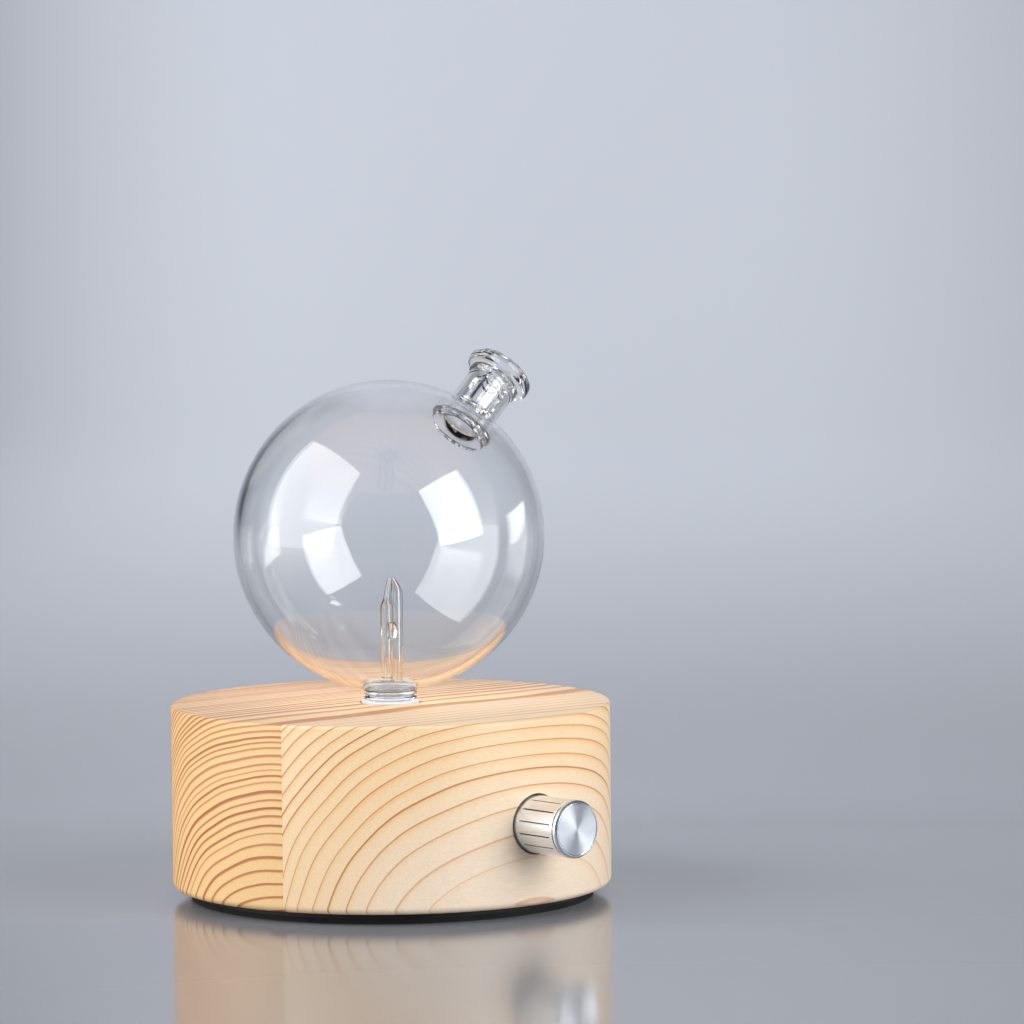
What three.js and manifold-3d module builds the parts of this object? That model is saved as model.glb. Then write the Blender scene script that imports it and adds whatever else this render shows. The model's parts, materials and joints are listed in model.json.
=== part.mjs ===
// Essential oil diffuser: a glass bulb with a Venturi nozzle on a round pine base.
// The base holds a small air pump, a speed control with its knob, a circuit board
// and a power socket. Lengths are in millimetres, +Z is up, the knob points to -Y,
// and the origin is the centre of the underside.

import * as THREE from 'three';
import { mergeVertices } from 'three/addons/utils/BufferGeometryUtils.js';
import Module from 'manifold-3d';

const wasm = await Module();
wasm.setup();

// ---- Driving dimensions ----------------------------------------------------

const GAP = 0.3; // clearance between pieces that touch

const BASE_R = 60; // pine block
const WOOD_H = 50;
const TOP_ROUND = 0.7; // eased top edge
const FOOT_ROUND = 2; // bigger bevel round the bottom edge
const GLUE_Y = -21.6; // glue line between the front and the back board
const POCKET_R = 49; // pocket milled in the block from below
const POCKET_FLAT_Y = -45; // flat wall that the speed control is fixed to
const CEILING_T = 10; // wood left above the pocket

const PAD_T = 1.5; // anti-slip pad
const PLATE_T = 1.5; // base plate that closes the pocket
const FOOT_R = 55;
const WOOD_Z = PAD_T + PLATE_T;
const WOOD_TOP = WOOD_Z + WOOD_H;
const POCKET_TOP = WOOD_TOP - CEILING_T;
const PLATE_SCREW_R = 52.3; // circle of the four plate screws
const SCREW_R = 1; // shank of the small screws
const PLATE_SCREW_SHANK_R = 1.3;
const VENT_R = 1.5; // air intake holes in the plate and the pad
const VENT_CIRCLE = 8;
const VENT_COUNT = 6;
const VENT_X = 30;
const VENT_Y = -4;

const BULB_R = 42.5; // outside of the glass sphere
const BULB_WALL = 1.8;
const BULB_Z = 98.6; // height of the sphere's centre
const STEM_R = 5.8;
const STEM_BORE_R = 4.4;
const STEM_BOTTOM = 34;
const STEM_BORE_TOP = 54.6;
const SEAT_R = 7.2; // short disc of glass that rests above the seal
const SEAT_BOTTOM = 53.8;

const NECK_TILT = 46 * Math.PI / 180; // neck leans from upright towards +X
const NECK_RISE = 2.3; // neck axis passes this far above the sphere's centre
const NECK_R = 7;
const NECK_BORE_R = 5.1;
const NECK_TOP = 56.4; // along the neck axis, from the sphere's centre
const STOPPER_R = 4.75;
const STOPPER_FLANGE_R = 9.6;
const STOPPER_TOP = 60.4;
const STOPPER_BOTTOM = 44.5;
const STOPPER_BORE_R = 2.3;

const TUBE_R = 1.95; // air jet and oil tube, side by side
const TUBE_X = 2.05;
const TUBE_BORE_R = 0.8;

const SOCKET_R = 8.2; // hole in the top of the block
const CUP_R = SOCKET_R - GAP;
const CUP_BORE_R = 7.3;
const CUP_FLOOR = 29;
const CUP_FLANGE_R = 13;
const CUP_FLANGE_T = 2.3;
const CUP_FLOOR_T = 2;
const CUP_SCREW_CIRCLE = 10.6;
const NIPPLE_L = 8;
const NIPPLE_R = 1.9; // hose nipples
const NIPPLE_BORE_R = 1.2;

const KNOB_Z = 25; // height of the control axis
const KNOB_R = 7.7;
const KNOB_FACE = 31; // along the control axis, from the flat pocket wall
const KNOB_BACK = 13.5;
const KNOB_HOLE_R = 8.2;
const KNOB_HOLE_FLOOR = 5;
const KNOB_BORE_R = 5.2;
const KNOB_END_T = 3.5; // metal behind the knob's face
const SHAFT_R = 3;
const BUSHING_R = 4;
const CONTROL_R = 8.2; // can of the speed control, inside the pocket
const SWITCH_HALF = 6;

const JACK_Z = 14; // power socket in the back of the block
const JACK_RECESS_R = 6.5;
const JACK_FLOOR_Y = 55;
const JACK_R = 5.3;
const PLUG_R = 2.85; // bore for a 5.5 mm plug

const PUMP_Y = 22; // pump axis runs along X at this place
const PUMP_Z = 17;
const MOTOR_R = 12;
const MOTOR_L = 30;
const HOUSING_L = 20;
const HOUSING_HALF = 12; // half of the pump's square section
const DIAPHRAGM_Z = [12.3, 13.5]; // the pump's layers, above its axis
const VALVE_Z = [13.8, 16.3];
const COVER_Z = [16.6, 21.4];
const NIPPLE_Z = 19;
const MOTOR_SHAFT_R = 1;
const ARMATURE_R = 8.4;
const ARMATURE_BORE_R = MOTOR_SHAFT_R + GAP;
const MAGNET_R = [9, 10.9];
const MAGNET_L = 20;
const MAGNET_HALF_ANGLE = 1.05;
const CAN_T = 0.8;
const CAN_HOLE_R = 1.6;
const ECCENTRIC_R = 4;
const ECCENTRIC_OFFSET = 1.2; // half of the pump's stroke
const CRANK_BORE_R = 5.6;
const CRANK_R = 7.2;
const CRANK_X = 6.5; // middle of the rod that the eccentric drives
const STRAP_REACH = 19.5; // half of the strap's span over its two feet
const STRAP_T = 1;
const STRAP_W = 8;
const HOSE_R = 3.1;
const HOSE_BORE_R = NIPPLE_R + GAP;

const BOARD_Z = 8; // underside of the circuit board
const BOARD_T = 1.6;
const BOARD_X = 22;
const BOARD_Y = [-41, -13];
const WIRE_R = 0.8;
const TERMINAL_Y = [-33, -25]; // the two wire connectors on the board
const CONNECTOR_H = 5.5;
const CAPACITOR_R = 3.1;
const CAPACITOR_H = 8;

// ---- Materials -------------------------------------------------------------

function finish(color, roughness, metalness = 0, opacity = 1) {
  return new THREE.MeshStandardMaterial({
    color, roughness, metalness, opacity, transparent: opacity < 1,
  });
}

const PINE = () => finish(0xe8c495, 0.55);
const GLASS = () => finish(0xe6edf2, 0.03, 0, 0.35);
const ALUMINIUM = () => finish(0xc9ccd0, 0.25, 1);
const STEEL = () => finish(0xa9adb2, 0.35, 1);
const BRASS = () => finish(0xc8a45a, 0.35, 1);
const BLACK_PLASTIC = () => finish(0x17181a, 0.5);
const WHITE_PLASTIC = () => finish(0xdedcd4, 0.5);
const BLACK_RUBBER = () => finish(0x101011, 0.85);
const GREY_SILICONE = () => finish(0x9aa3aa, 0.5);
const FOAM = () => finish(0x2a2a2c, 0.95);
const BOARD_GREEN = () => finish(0x1f5a38, 0.4);
const RED_WIRE = () => finish(0xa32019, 0.5);
const BLACK_WIRE = () => finish(0x1b1b1c, 0.5);

// ---- Solids ----------------------------------------------------------------

// A closed three.js geometry as a solid, with its shared corners welded and the
// slivers at a pole left out.
function solid(geometry) {
  const bare = geometry.clone();
  bare.deleteAttribute('normal');
  bare.deleteAttribute('uv');
  const welded = mergeVertices(bare, 1e-4);
  const corners = welded.index.array;
  const triVerts = [];
  for (let i = 0; i < corners.length; i += 3) {
    const [a, b, c] = corners.slice(i, i + 3);
    if (a !== b && b !== c && c !== a) triVerts.push(a, b, c);
  }
  const mesh = new wasm.Mesh({
    numProp: 3,
    vertProperties: new Float32Array(welded.attributes.position.array),
    triVerts: new Uint32Array(triVerts),
  });
  return new wasm.Manifold(mesh);
}

function geometryOf(manifold) {
  const mesh = manifold.getMesh();
  const geometry = new THREE.BufferGeometry();
  geometry.setAttribute('position', new THREE.BufferAttribute(mesh.vertProperties, 3));
  geometry.setIndex(new THREE.BufferAttribute(mesh.triVerts, 1));
  geometry.computeVertexNormals();
  return geometry;
}

function cut(body, ...tools) {
  const rest = tools.reduce((left, tool) => left.subtract(solid(tool)), solid(body));
  return geometryOf(rest);
}

function join(body, ...others) {
  const whole = others.reduce((sum, other) => sum.add(solid(other)), solid(body));
  return geometryOf(whole);
}

// A profile of [radius, height] points turned about Z. It starts and ends on the
// axis, or closes on itself as a ring.
function turned(profile, segments) {
  const points = profile.map(([r, z]) => new THREE.Vector2(r, z));
  const onAxis = profile[0][0] === 0 && profile.at(-1)[0] === 0;
  if (!onAxis) points.push(points[0].clone());
  return new THREE.LatheGeometry(points, segments).rotateX(Math.PI / 2);
}

function rod(radius, low, high, segments = 16) {
  return turned([[0, low], [radius, low], [radius, high], [0, high]], segments);
}

function ring(inner, outer, low, high, segments = 24) {
  return turned([[inner, low], [outer, low], [outer, high], [inner, high]], segments);
}

function block([x0, x1], [y0, y1], [z0, z1]) {
  const box = new THREE.BoxGeometry(x1 - x0, y1 - y0, z1 - z0);
  return box.translate((x0 + x1) / 2, (y0 + y1) / 2, (z0 + z1) / 2);
}

function ball(radius, around, down) {
  return new THREE.SphereGeometry(radius, around, down).rotateX(Math.PI / 2);
}

// A six-sided nut with a round hole, flat side to flat side `across`.
function hexNut(across, hole, low, high) {
  const corner = across / Math.sqrt(3);
  return cut(rod(corner, low, high, 6), rod(hole, low - 1, high + 1, 16));
}

// A tube or wire along a list of points.
function along(points, shape, steps) {
  const path = new THREE.CatmullRomCurve3(points.map((p) => new THREE.Vector3(...p)));
  return new THREE.ExtrudeGeometry(shape, { steps, extrudePath: path, curveSegments: 4 });
}

function disc(radius, hole = 0) {
  const shape = new THREE.Shape().absarc(0, 0, radius, 0, 2 * Math.PI, false);
  if (hole > 0) shape.holes.push(new THREE.Path().absarc(0, 0, hole, 0, 2 * Math.PI, true));
  return shape;
}

function onCircle(count, radius, start = 0) {
  const angles = Array.from({ length: count }, (_, i) => start + (2 * Math.PI * i) / count);
  return angles.map((a) => [radius * Math.cos(a), radius * Math.sin(a)]);
}

function add(parent, name, geometry, material) {
  const mesh = new THREE.Mesh(geometry, material);
  mesh.name = name;
  parent.add(mesh);
  return mesh;
}

function group(parent, x, y, z) {
  const made = new THREE.Group();
  made.position.set(x, y, z);
  parent.add(made);
  return made;
}

// ---- Pine base -------------------------------------------------------------

const PLATE_SCREWS = onCircle(4, PLATE_SCREW_R, Math.PI / 4);
const BOARD_SCREWS = [[-18, -17], [18, -17]];
const STRAP_SCREWS = [[-15, 5.5], [-15, 38.5]];
const CUP_SCREWS = onCircle(2, CUP_SCREW_CIRCLE, Math.PI / 2);

function pocket() {
  const round = rod(POCKET_R, WOOD_Z - 1, POCKET_TOP, 40);
  const reach = [-POCKET_R - 1, POCKET_R + 1];
  return geometryOf(solid(round).subtract(
    solid(block(reach, [-POCKET_R - 1, POCKET_FLAT_Y], [WOOD_Z - 2, POCKET_TOP + 1])),
  ));
}

// A round tool whose axis runs along Y, from y0 to y1, at height z.
function boreY(radius, y0, y1, z, segments = 24) {
  return rod(radius, -y1, -y0, segments).rotateX(Math.PI / 2).translate(0, 0, z);
}

function pineBlock() {
  const profile = [
    [0, WOOD_Z],
    [BASE_R - FOOT_ROUND, WOOD_Z],
    [BASE_R - FOOT_ROUND * 0.3, WOOD_Z + FOOT_ROUND * 0.3],
    [BASE_R, WOOD_Z + FOOT_ROUND],
    [BASE_R, WOOD_TOP - TOP_ROUND],
    [BASE_R - TOP_ROUND, WOOD_TOP],
    [0, WOOD_TOP],
  ];
  const flatY = POCKET_FLAT_Y;
  const pilotR = PLATE_SCREW_SHANK_R + GAP;
  const pilots = PLATE_SCREWS.map(([x, y]) => rod(pilotR, WOOD_Z - 1, 13, 8).translate(x, y, 0));
  const cupPilots = CUP_SCREWS.map(([x, y]) => rod(SCREW_R + GAP, POCKET_TOP - 1, 49, 8).translate(x, y, 0));
  return cut(
    turned(profile, 48),
    pocket(),
    rod(SOCKET_R, POCKET_TOP - 1, WOOD_TOP + 1, 24),
    boreY(KNOB_HOLE_R, -BASE_R - 1, flatY - KNOB_HOLE_FLOOR, KNOB_Z),
    boreY(BUSHING_R + GAP, flatY - KNOB_HOLE_FLOOR - 1, flatY + 1, KNOB_Z, 16),
    boreY(JACK_RECESS_R, JACK_FLOOR_Y, BASE_R + 1, JACK_Z, 16),
    boreY(JACK_R + GAP, POCKET_R - 2, JACK_FLOOR_Y + 1, JACK_Z, 16),
    ...pilots,
    ...cupPilots,
  );
}

// The block is glued from a front and a back board.
function addBoards(parent) {
  const whole = solid(pineBlock());
  const wide = [-BASE_R - 1, BASE_R + 1];
  const high = [0, WOOD_TOP + 1];
  const behind = solid(block(wide, [GLUE_Y - GAP / 2, BASE_R + 1], high));
  const before = solid(block(wide, [-BASE_R - 1, GLUE_Y + GAP / 2], high));
  add(parent, 'wood_front', geometryOf(whole.subtract(behind)), PINE());
  add(parent, 'wood_back', geometryOf(whole.subtract(before)), PINE());
}

function ventHoles() {
  return onCircle(VENT_COUNT, VENT_CIRCLE).map(([x, y]) => (
    rod(VENT_R, -1, WOOD_Z + 1, 8).translate(x + VENT_X, y + VENT_Y, 0)
  ));
}

function addFoot(parent) {
  add(parent, 'foot_pad', cut(rod(FOOT_R, 0, PAD_T, 48), ...ventHoles()), BLACK_RUBBER());

  const bosses = BOARD_SCREWS.map(([x, y]) => rod(2.8, PAD_T + 0.5, BOARD_Z - GAP, 12).translate(x, y, 0));
  const plate = join(rod(FOOT_R, PAD_T, WOOD_Z, 48), ...bosses);
  const heads = PLATE_SCREWS.map(([x, y]) => (
    turned([[0, 1], [3.3, 1], [1.6, 2.7], [1.6, 4], [0, 4]], 12).translate(x, y, 0)
  ));
  const inserts = BOARD_SCREWS.map(([x, y]) => rod(SCREW_R + GAP, 3.6, 9, 8).translate(x, y, 0));
  const threads = STRAP_SCREWS.map(([x, y]) => rod(SCREW_R + GAP, 1.9, 4, 8).translate(x, y, 0));
  add(parent, 'base_plate', cut(plate, ...heads, ...inserts, ...threads, ...ventHoles()), BLACK_PLASTIC());

  PLATE_SCREWS.forEach(([x, y], i) => {
    const shank = PLATE_SCREW_SHANK_R;
    const profile = [[0, 1.6], [2.5, 1.6], [shank, 2.8], [shank, 11], [0, 12.4]];
    add(parent, `plate_screw_${i + 1}`, turned(profile, 12), STEEL()).position.set(x, y, 0);
  });
}

// A pan-head screw: its head sits on `seat`, its shank runs from there by `reach`.
function panScrew(headR, headH, shankR, reach) {
  return turned([[0, -reach], [shankR, -reach], [shankR, 0], [headR, 0], [headR, headH * 0.5],
    [headR * 0.6, headH], [0, headH]], 10);
}

// ---- Socket that the glass stem sits in ------------------------------------

function addSocket(parent) {
  const cup = [
    [NIPPLE_BORE_R, CUP_FLOOR - NIPPLE_L],
    [NIPPLE_R, CUP_FLOOR - NIPPLE_L],
    [NIPPLE_R, CUP_FLOOR],
    [CUP_R, CUP_FLOOR],
    [CUP_R, POCKET_TOP - GAP - CUP_FLANGE_T],
    [CUP_FLANGE_R, POCKET_TOP - GAP - CUP_FLANGE_T],
    [CUP_FLANGE_R, POCKET_TOP - GAP],
    [CUP_R, POCKET_TOP - GAP],
    [CUP_R, WOOD_TOP - 0.7],
    [CUP_BORE_R, WOOD_TOP - 0.7],
    [CUP_BORE_R, CUP_FLOOR + CUP_FLOOR_T],
    [NIPPLE_BORE_R, CUP_FLOOR + CUP_FLOOR_T],
  ];
  const holes = CUP_SCREWS.map(([x, y]) => rod(SCREW_R + GAP, 38, 44, 8).translate(x, y, 0));
  add(parent, 'socket_cup', cut(turned(cup, 20), ...holes), BLACK_PLASTIC());

  CUP_SCREWS.forEach(([x, y], i) => {
    const screw = add(parent, `cup_screw_${i + 1}`, panScrew(2, 1.2, SCREW_R, 7), STEEL());
    screw.position.set(x, y, POCKET_TOP - 2.9);
    screw.rotation.x = Math.PI;
  });

  const seal = [
    [STEM_R + GAP, CUP_FLOOR + 3],
    [CUP_BORE_R - GAP, CUP_FLOOR + 3],
    [CUP_BORE_R - GAP, WOOD_TOP - 0.4],
    [CUP_R, WOOD_TOP - 0.4],
    [CUP_R, WOOD_TOP + 0.2],
    [CUP_R - 0.4, WOOD_TOP + 0.5],
    [STEM_R + GAP, WOOD_TOP + 0.5],
  ];
  add(parent, 'stem_seal', turned(seal, 20), GREY_SILICONE());
}

// ---- Glass -----------------------------------------------------------------

// Puts a shape made about the Z axis onto the neck's axis.
function toNeck(geometry) {
  return geometry.translate(-NECK_RISE, 0, 0).rotateY(NECK_TILT);
}

// Everything here is measured from the sphere's centre.
function bulbGlass() {
  const stem = [
    [0, STEM_BOTTOM - BULB_Z],
    [STEM_R - 0.4, STEM_BOTTOM - BULB_Z],
    [STEM_R, STEM_BOTTOM + 0.6 - BULB_Z],
    [STEM_R, SEAT_BOTTOM - BULB_Z],
    [SEAT_R, SEAT_BOTTOM - BULB_Z],
    [SEAT_R, -42.5],
    [8.4, -41.2],
    [0, -39.5],
  ];
  const neck = [
    [0, 36],
    [10, 39.8],
    [8.2, 41.6],
    [7.2, 43.6],
    [NECK_R, 46],
    [NECK_R, NECK_TOP - 1.8],
    [NECK_R + 0.7, NECK_TOP - 1.1],
    [NECK_R + 0.7, NECK_TOP - 0.3],
    [NECK_R + 0.4, NECK_TOP],
    [0, NECK_TOP],
  ];
  const outside = join(ball(BULB_R, 32, 16), turned(stem, 20), toNeck(turned(neck, 20)));
  return cut(
    outside,
    ball(BULB_R - BULB_WALL, 24, 12),
    toNeck(rod(NECK_BORE_R, 30, NECK_TOP + 1, 20)),
    rod(STEM_BORE_R, STEM_BOTTOM - BULB_Z - 1, STEM_BORE_TOP - BULB_Z, 20),
    rod(TUBE_R + GAP, -44.5, -38, 12).translate(TUBE_X, 0, 0),
  );
}

// A glass tube whose top is drawn out to a fine tip that leans sideways.
function drawnTube(low, shoulder, tip, tipR, tipBoreR, lean) {
  const tube = turned([
    [TUBE_BORE_R, low],
    [TUBE_R, low],
    [TUBE_R, shoulder],
    [tipR, tip],
    [tipBoreR, tip],
    [TUBE_BORE_R, shoulder],
  ], 12);
  const place = tube.attributes.position;
  for (let i = 0; i < place.count; i += 1) {
    const rise = Math.max(0, place.getZ(i) - shoulder) / (tip - shoulder);
    place.setX(i, place.getX(i) + lean * rise);
  }
  return tube;
}

function addGlass(parent) {
  const bulb = group(parent, 0, 0, BULB_Z);
  add(bulb, 'glass_bulb', bulbGlass(), GLASS());

  const jet = drawnTube(-48.6, -15.3, -11.6, 0.55, 0.25, -1.6);
  add(bulb, 'air_jet_tube', jet, GLASS()).position.x = TUBE_X;
  const oil = drawnTube(-39.4, -19, -12, 0.5, 0.25, 1.3);
  add(bulb, 'oil_tube', oil, GLASS()).position.x = -TUBE_X;

  const neck = group(bulb, 0, 0, 0);
  neck.rotation.y = NECK_TILT;
  const flangeZ = NECK_TOP + GAP + 0.1;
  const stopper = [
    [STOPPER_BORE_R, STOPPER_BOTTOM],
    [STOPPER_R - 0.5, STOPPER_BOTTOM],
    [STOPPER_R, STOPPER_BOTTOM + 0.8],
    [STOPPER_R, flangeZ],
    [STOPPER_FLANGE_R - 0.9, flangeZ],
    [STOPPER_FLANGE_R, flangeZ + 0.9],
    [STOPPER_FLANGE_R, STOPPER_TOP - 0.9],
    [STOPPER_FLANGE_R - 0.9, STOPPER_TOP],
    [STOPPER_BORE_R + 1.7, STOPPER_TOP],
    [STOPPER_BORE_R + 0.9, STOPPER_TOP - 1],
    [STOPPER_BORE_R, STOPPER_TOP - 3],
  ];
  add(neck, 'glass_stopper', turned(stopper, 20), GLASS()).position.x = -NECK_RISE;
}

// ---- Speed control and knob ------------------------------------------------

// Local +Z points out of the front of the base, local +Y is up.
function addControl(parent) {
  const control = group(parent, 0, POCKET_FLAT_Y, KNOB_Z);
  control.rotation.x = Math.PI / 2;

  const shell = [
    [0, KNOB_FACE - KNOB_END_T],
    [KNOB_BORE_R, KNOB_FACE - KNOB_END_T],
    [KNOB_BORE_R, KNOB_BACK],
    [KNOB_R - 0.3, KNOB_BACK],
    [KNOB_R, KNOB_BACK + 0.4],
    [KNOB_R, KNOB_FACE - 0.9],
    [KNOB_R - 0.7, KNOB_FACE],
    [0, KNOB_FACE],
  ];
  add(control, 'knob_shell', turned(shell, 24), ALUMINIUM());
  const core = [
    [0, KNOB_FACE - 5.7],
    [SHAFT_R + GAP, KNOB_FACE - 5.7],
    [SHAFT_R + GAP, KNOB_BACK + 0.4],
    [KNOB_BORE_R - GAP, KNOB_BACK + 0.4],
    [KNOB_BORE_R - GAP, KNOB_FACE - KNOB_END_T - GAP],
    [0, KNOB_FACE - KNOB_END_T - GAP],
  ];
  add(control, 'knob_core', turned(core, 16), BLACK_PLASTIC());
  const flat = block([-SHAFT_R, SHAFT_R], [1.5, SHAFT_R + 1], [KNOB_BACK + 1, KNOB_FACE]);
  add(control, 'control_shaft', cut(rod(SHAFT_R, -2.6, KNOB_FACE - 6, 16), flat), STEEL());

  const body = [
    [0, -9.8],
    [CONTROL_R, -9.8],
    [CONTROL_R, -GAP],
    [BUSHING_R, -GAP],
    [BUSHING_R, 9.3],
    [SHAFT_R + 0.2, 9.3],
    [SHAFT_R + 0.2, -3],
    [0, -3],
  ];
  add(control, 'control_body', turned(body, 16), STEEL());
  const wide = [-SWITCH_HALF, SWITCH_HALF];
  add(control, 'control_switch', block(wide, wide, [-15, -10.1]), BLACK_PLASTIC());
  add(control, 'control_washer', ring(BUSHING_R + GAP, 6, 5.1, 5.7, 16), STEEL());
  add(control, 'control_nut', hexNut(10, BUSHING_R + GAP, 6, 8), STEEL());
  const legs = [-5, 0, 5].map((x) => block([x - 0.5, x + 0.5], [-15.1, -12], [-6.4, -5.8]));
  add(control, 'control_legs', join(block([-6.5, 6.5], [-12.5, -8.6], [-6.6, -5.6]), ...legs), BRASS());
}

// ---- Power socket ----------------------------------------------------------

// Local +Z points out of the back of the base.
function addJack(parent) {
  const jack = group(parent, 0, JACK_FLOOR_Y, JACK_Z);
  jack.rotation.x = -Math.PI / 2;
  const body = [
    [0, -14],
    [JACK_R, -14],
    [JACK_R, GAP],
    [JACK_R + 0.8, GAP],
    [JACK_R + 0.8, 1.5],
    [PLUG_R, 1.5],
    [PLUG_R, -9],
    [0, -9],
  ];
  add(jack, 'jack_body', turned(body, 16), BLACK_PLASTIC());
  add(jack, 'jack_pin', turned([[0, -8.7], [1.05, -8.7], [1.05, 0.4], [0.6, 0.8], [0, 0.8]], 12), BRASS());
  add(jack, 'jack_nut', hexNut(14, JACK_R + GAP, -9.4, -7.1), STEEL());
}

// ---- Circuit board ---------------------------------------------------------

function addBoard(parent) {
  const top = BOARD_Z + BOARD_T;
  const sheet = block([-BOARD_X, BOARD_X], BOARD_Y, [BOARD_Z, top]);
  const holes = BOARD_SCREWS.map(([x, y]) => rod(SCREW_R + GAP, BOARD_Z - 1, top + 1, 8).translate(x, y, 0));
  add(parent, 'circuit_board', cut(sheet, ...holes), BOARD_GREEN());
  BOARD_SCREWS.forEach(([x, y], i) => {
    const screw = add(parent, `board_screw_${i + 1}`, panScrew(2.2, 1.3, SCREW_R, 5.5), STEEL());
    screw.position.set(x, y, top + 0.1);
  });
  const seat = top + 0.1;
  const can = [
    [0, 0],
    [CAPACITOR_R, 0],
    [CAPACITOR_R, CAPACITOR_H - 0.4],
    [CAPACITOR_R - 0.4, CAPACITOR_H],
    [0, CAPACITOR_H],
  ];
  add(parent, 'capacitor', turned(can, 16), STEEL()).position.set(9, -20, seat);
  add(parent, 'timer_chip', block([-8, -2], [-22, -18], [seat, seat + 1.6]), BLACK_PLASTIC());
  const high = [seat, seat + CONNECTOR_H];
  add(parent, 'motor_connector', block([-21, -15], TERMINAL_Y, high), WHITE_PLASTIC());
  add(parent, 'power_connector', block([15, 21], TERMINAL_Y, high), WHITE_PLASTIC());
}

// ---- Air pump --------------------------------------------------------------

// Local +Z runs along the motor shaft, towards +X.
function addMotor(pump) {
  const motor = group(pump, -MOTOR_L, 0, 0);
  motor.rotation.y = Math.PI / 2;
  const can = [[MOTOR_R - CAN_T, 0], [MOTOR_R, 0], [MOTOR_R, MOTOR_L], [CAN_HOLE_R, MOTOR_L],
    [CAN_HOLE_R, MOTOR_L - 1], [MOTOR_R - CAN_T, MOTOR_L - 1]];
  add(motor, 'motor_can', turned(can, 24), STEEL());
  [0, Math.PI].forEach((turn, i) => {
    const from = turn - MAGNET_HALF_ANGLE;
    const to = turn + MAGNET_HALF_ANGLE;
    const arc = new THREE.Shape()
      .absarc(0, 0, MAGNET_R[1], from, to, false)
      .absarc(0, 0, MAGNET_R[0], to, from, true);
    const depth = MAGNET_L;
    const magnet = new THREE.ExtrudeGeometry(arc, { depth, bevelEnabled: false, curveSegments: 6 });
    add(motor, `motor_magnet_${i + 1}`, magnet.translate(0, 0, 5), BLACK_PLASTIC());
  });
  const armature = [[ARMATURE_BORE_R, 2], [3, 2], [3, 5.5], [ARMATURE_R, 6], [ARMATURE_R, 24],
    [ARMATURE_BORE_R, 24.5]];
  add(motor, 'armature', turned(armature, 16), STEEL());
  add(motor, 'motor_shaft', rod(MOTOR_SHAFT_R, -2.5, MOTOR_L + 10, 12), STEEL());
  const cap = [[1.5, -1.8], [MOTOR_R - 1.1, -1.8], [MOTOR_R - 1.1, 1.2], [1.5, 1.2]];
  add(motor, 'motor_end_cap', turned(cap, 24), WHITE_PLASTIC());
  [-6, 6].forEach((y, i) => {
    const tab = block([-1.5, 1.5], [y - 0.3, y + 0.3], [-6, -2.1]);
    add(motor, `motor_tab_${i + 1}`, tab, BRASS());
  });
  return motor;
}

// A round tool whose axis runs along X, from x0 to x1.
function boreX(radius, x0, x1, segments = 24) {
  return rod(radius, x0, x1, segments).rotateY(Math.PI / 2);
}

function addPump(parent) {
  const pump = group(parent, 0, PUMP_Y, PUMP_Z);
  addMotor(pump);

  const side = [-HOUSING_HALF, HOUSING_HALF];
  const length = [GAP, HOUSING_L];
  const housing = cut(
    block(length, side, side),
    boreX(9.5, -1, HOUSING_L - 2.5),
    rod(7.5, 0, 13, 24).translate(CRANK_X, 0, 0),
  );
  add(pump, 'pump_housing', housing, BLACK_PLASTIC());
  const wheel = cut(
    boreX(ECCENTRIC_R, 4, 9, 16).translate(0, 0, -ECCENTRIC_OFFSET),
    boreX(ARMATURE_BORE_R, 3, 10, 12),
  );
  add(pump, 'eccentric', wheel, BRASS());
  const rodRing = join(
    boreX(CRANK_R, CRANK_X - 2, CRANK_X + 2, 20),
    block([4.8, 8.2], [-1.5, 1.5], [6, 10.5]),
    rod(5, 10.2, 11.8, 16).translate(CRANK_X, 0, 0),
  );
  add(pump, 'con_rod', cut(rodRing, boreX(CRANK_BORE_R, 4, 9, 20)), WHITE_PLASTIC());

  add(pump, 'diaphragm', block(length, side, DIAPHRAGM_Z), BLACK_RUBBER());
  add(pump, 'valve_plate', block(length, side, VALVE_Z), WHITE_PLASTIC());
  const outlet = boreX(NIPPLE_R, HOUSING_L - 1, HOUSING_L + 6, 16).translate(0, 0, NIPPLE_Z);
  const duct = boreX(NIPPLE_BORE_R, HOUSING_L - 8, HOUSING_L + 7, 12).translate(0, 0, NIPPLE_Z);
  const port = rod(NIPPLE_BORE_R, 16, NIPPLE_Z, 12).translate(HOUSING_L - 7, 0, 0);
  add(pump, 'pump_cover', cut(join(block(length, side, COVER_Z), outlet), duct, port), BLACK_PLASTIC());

  add(pump, 'pump_pad', block([-28, 18], [-9, 9], [WOOD_Z + 0.1 - PUMP_Z, -12.2]), FOAM());
}

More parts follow.
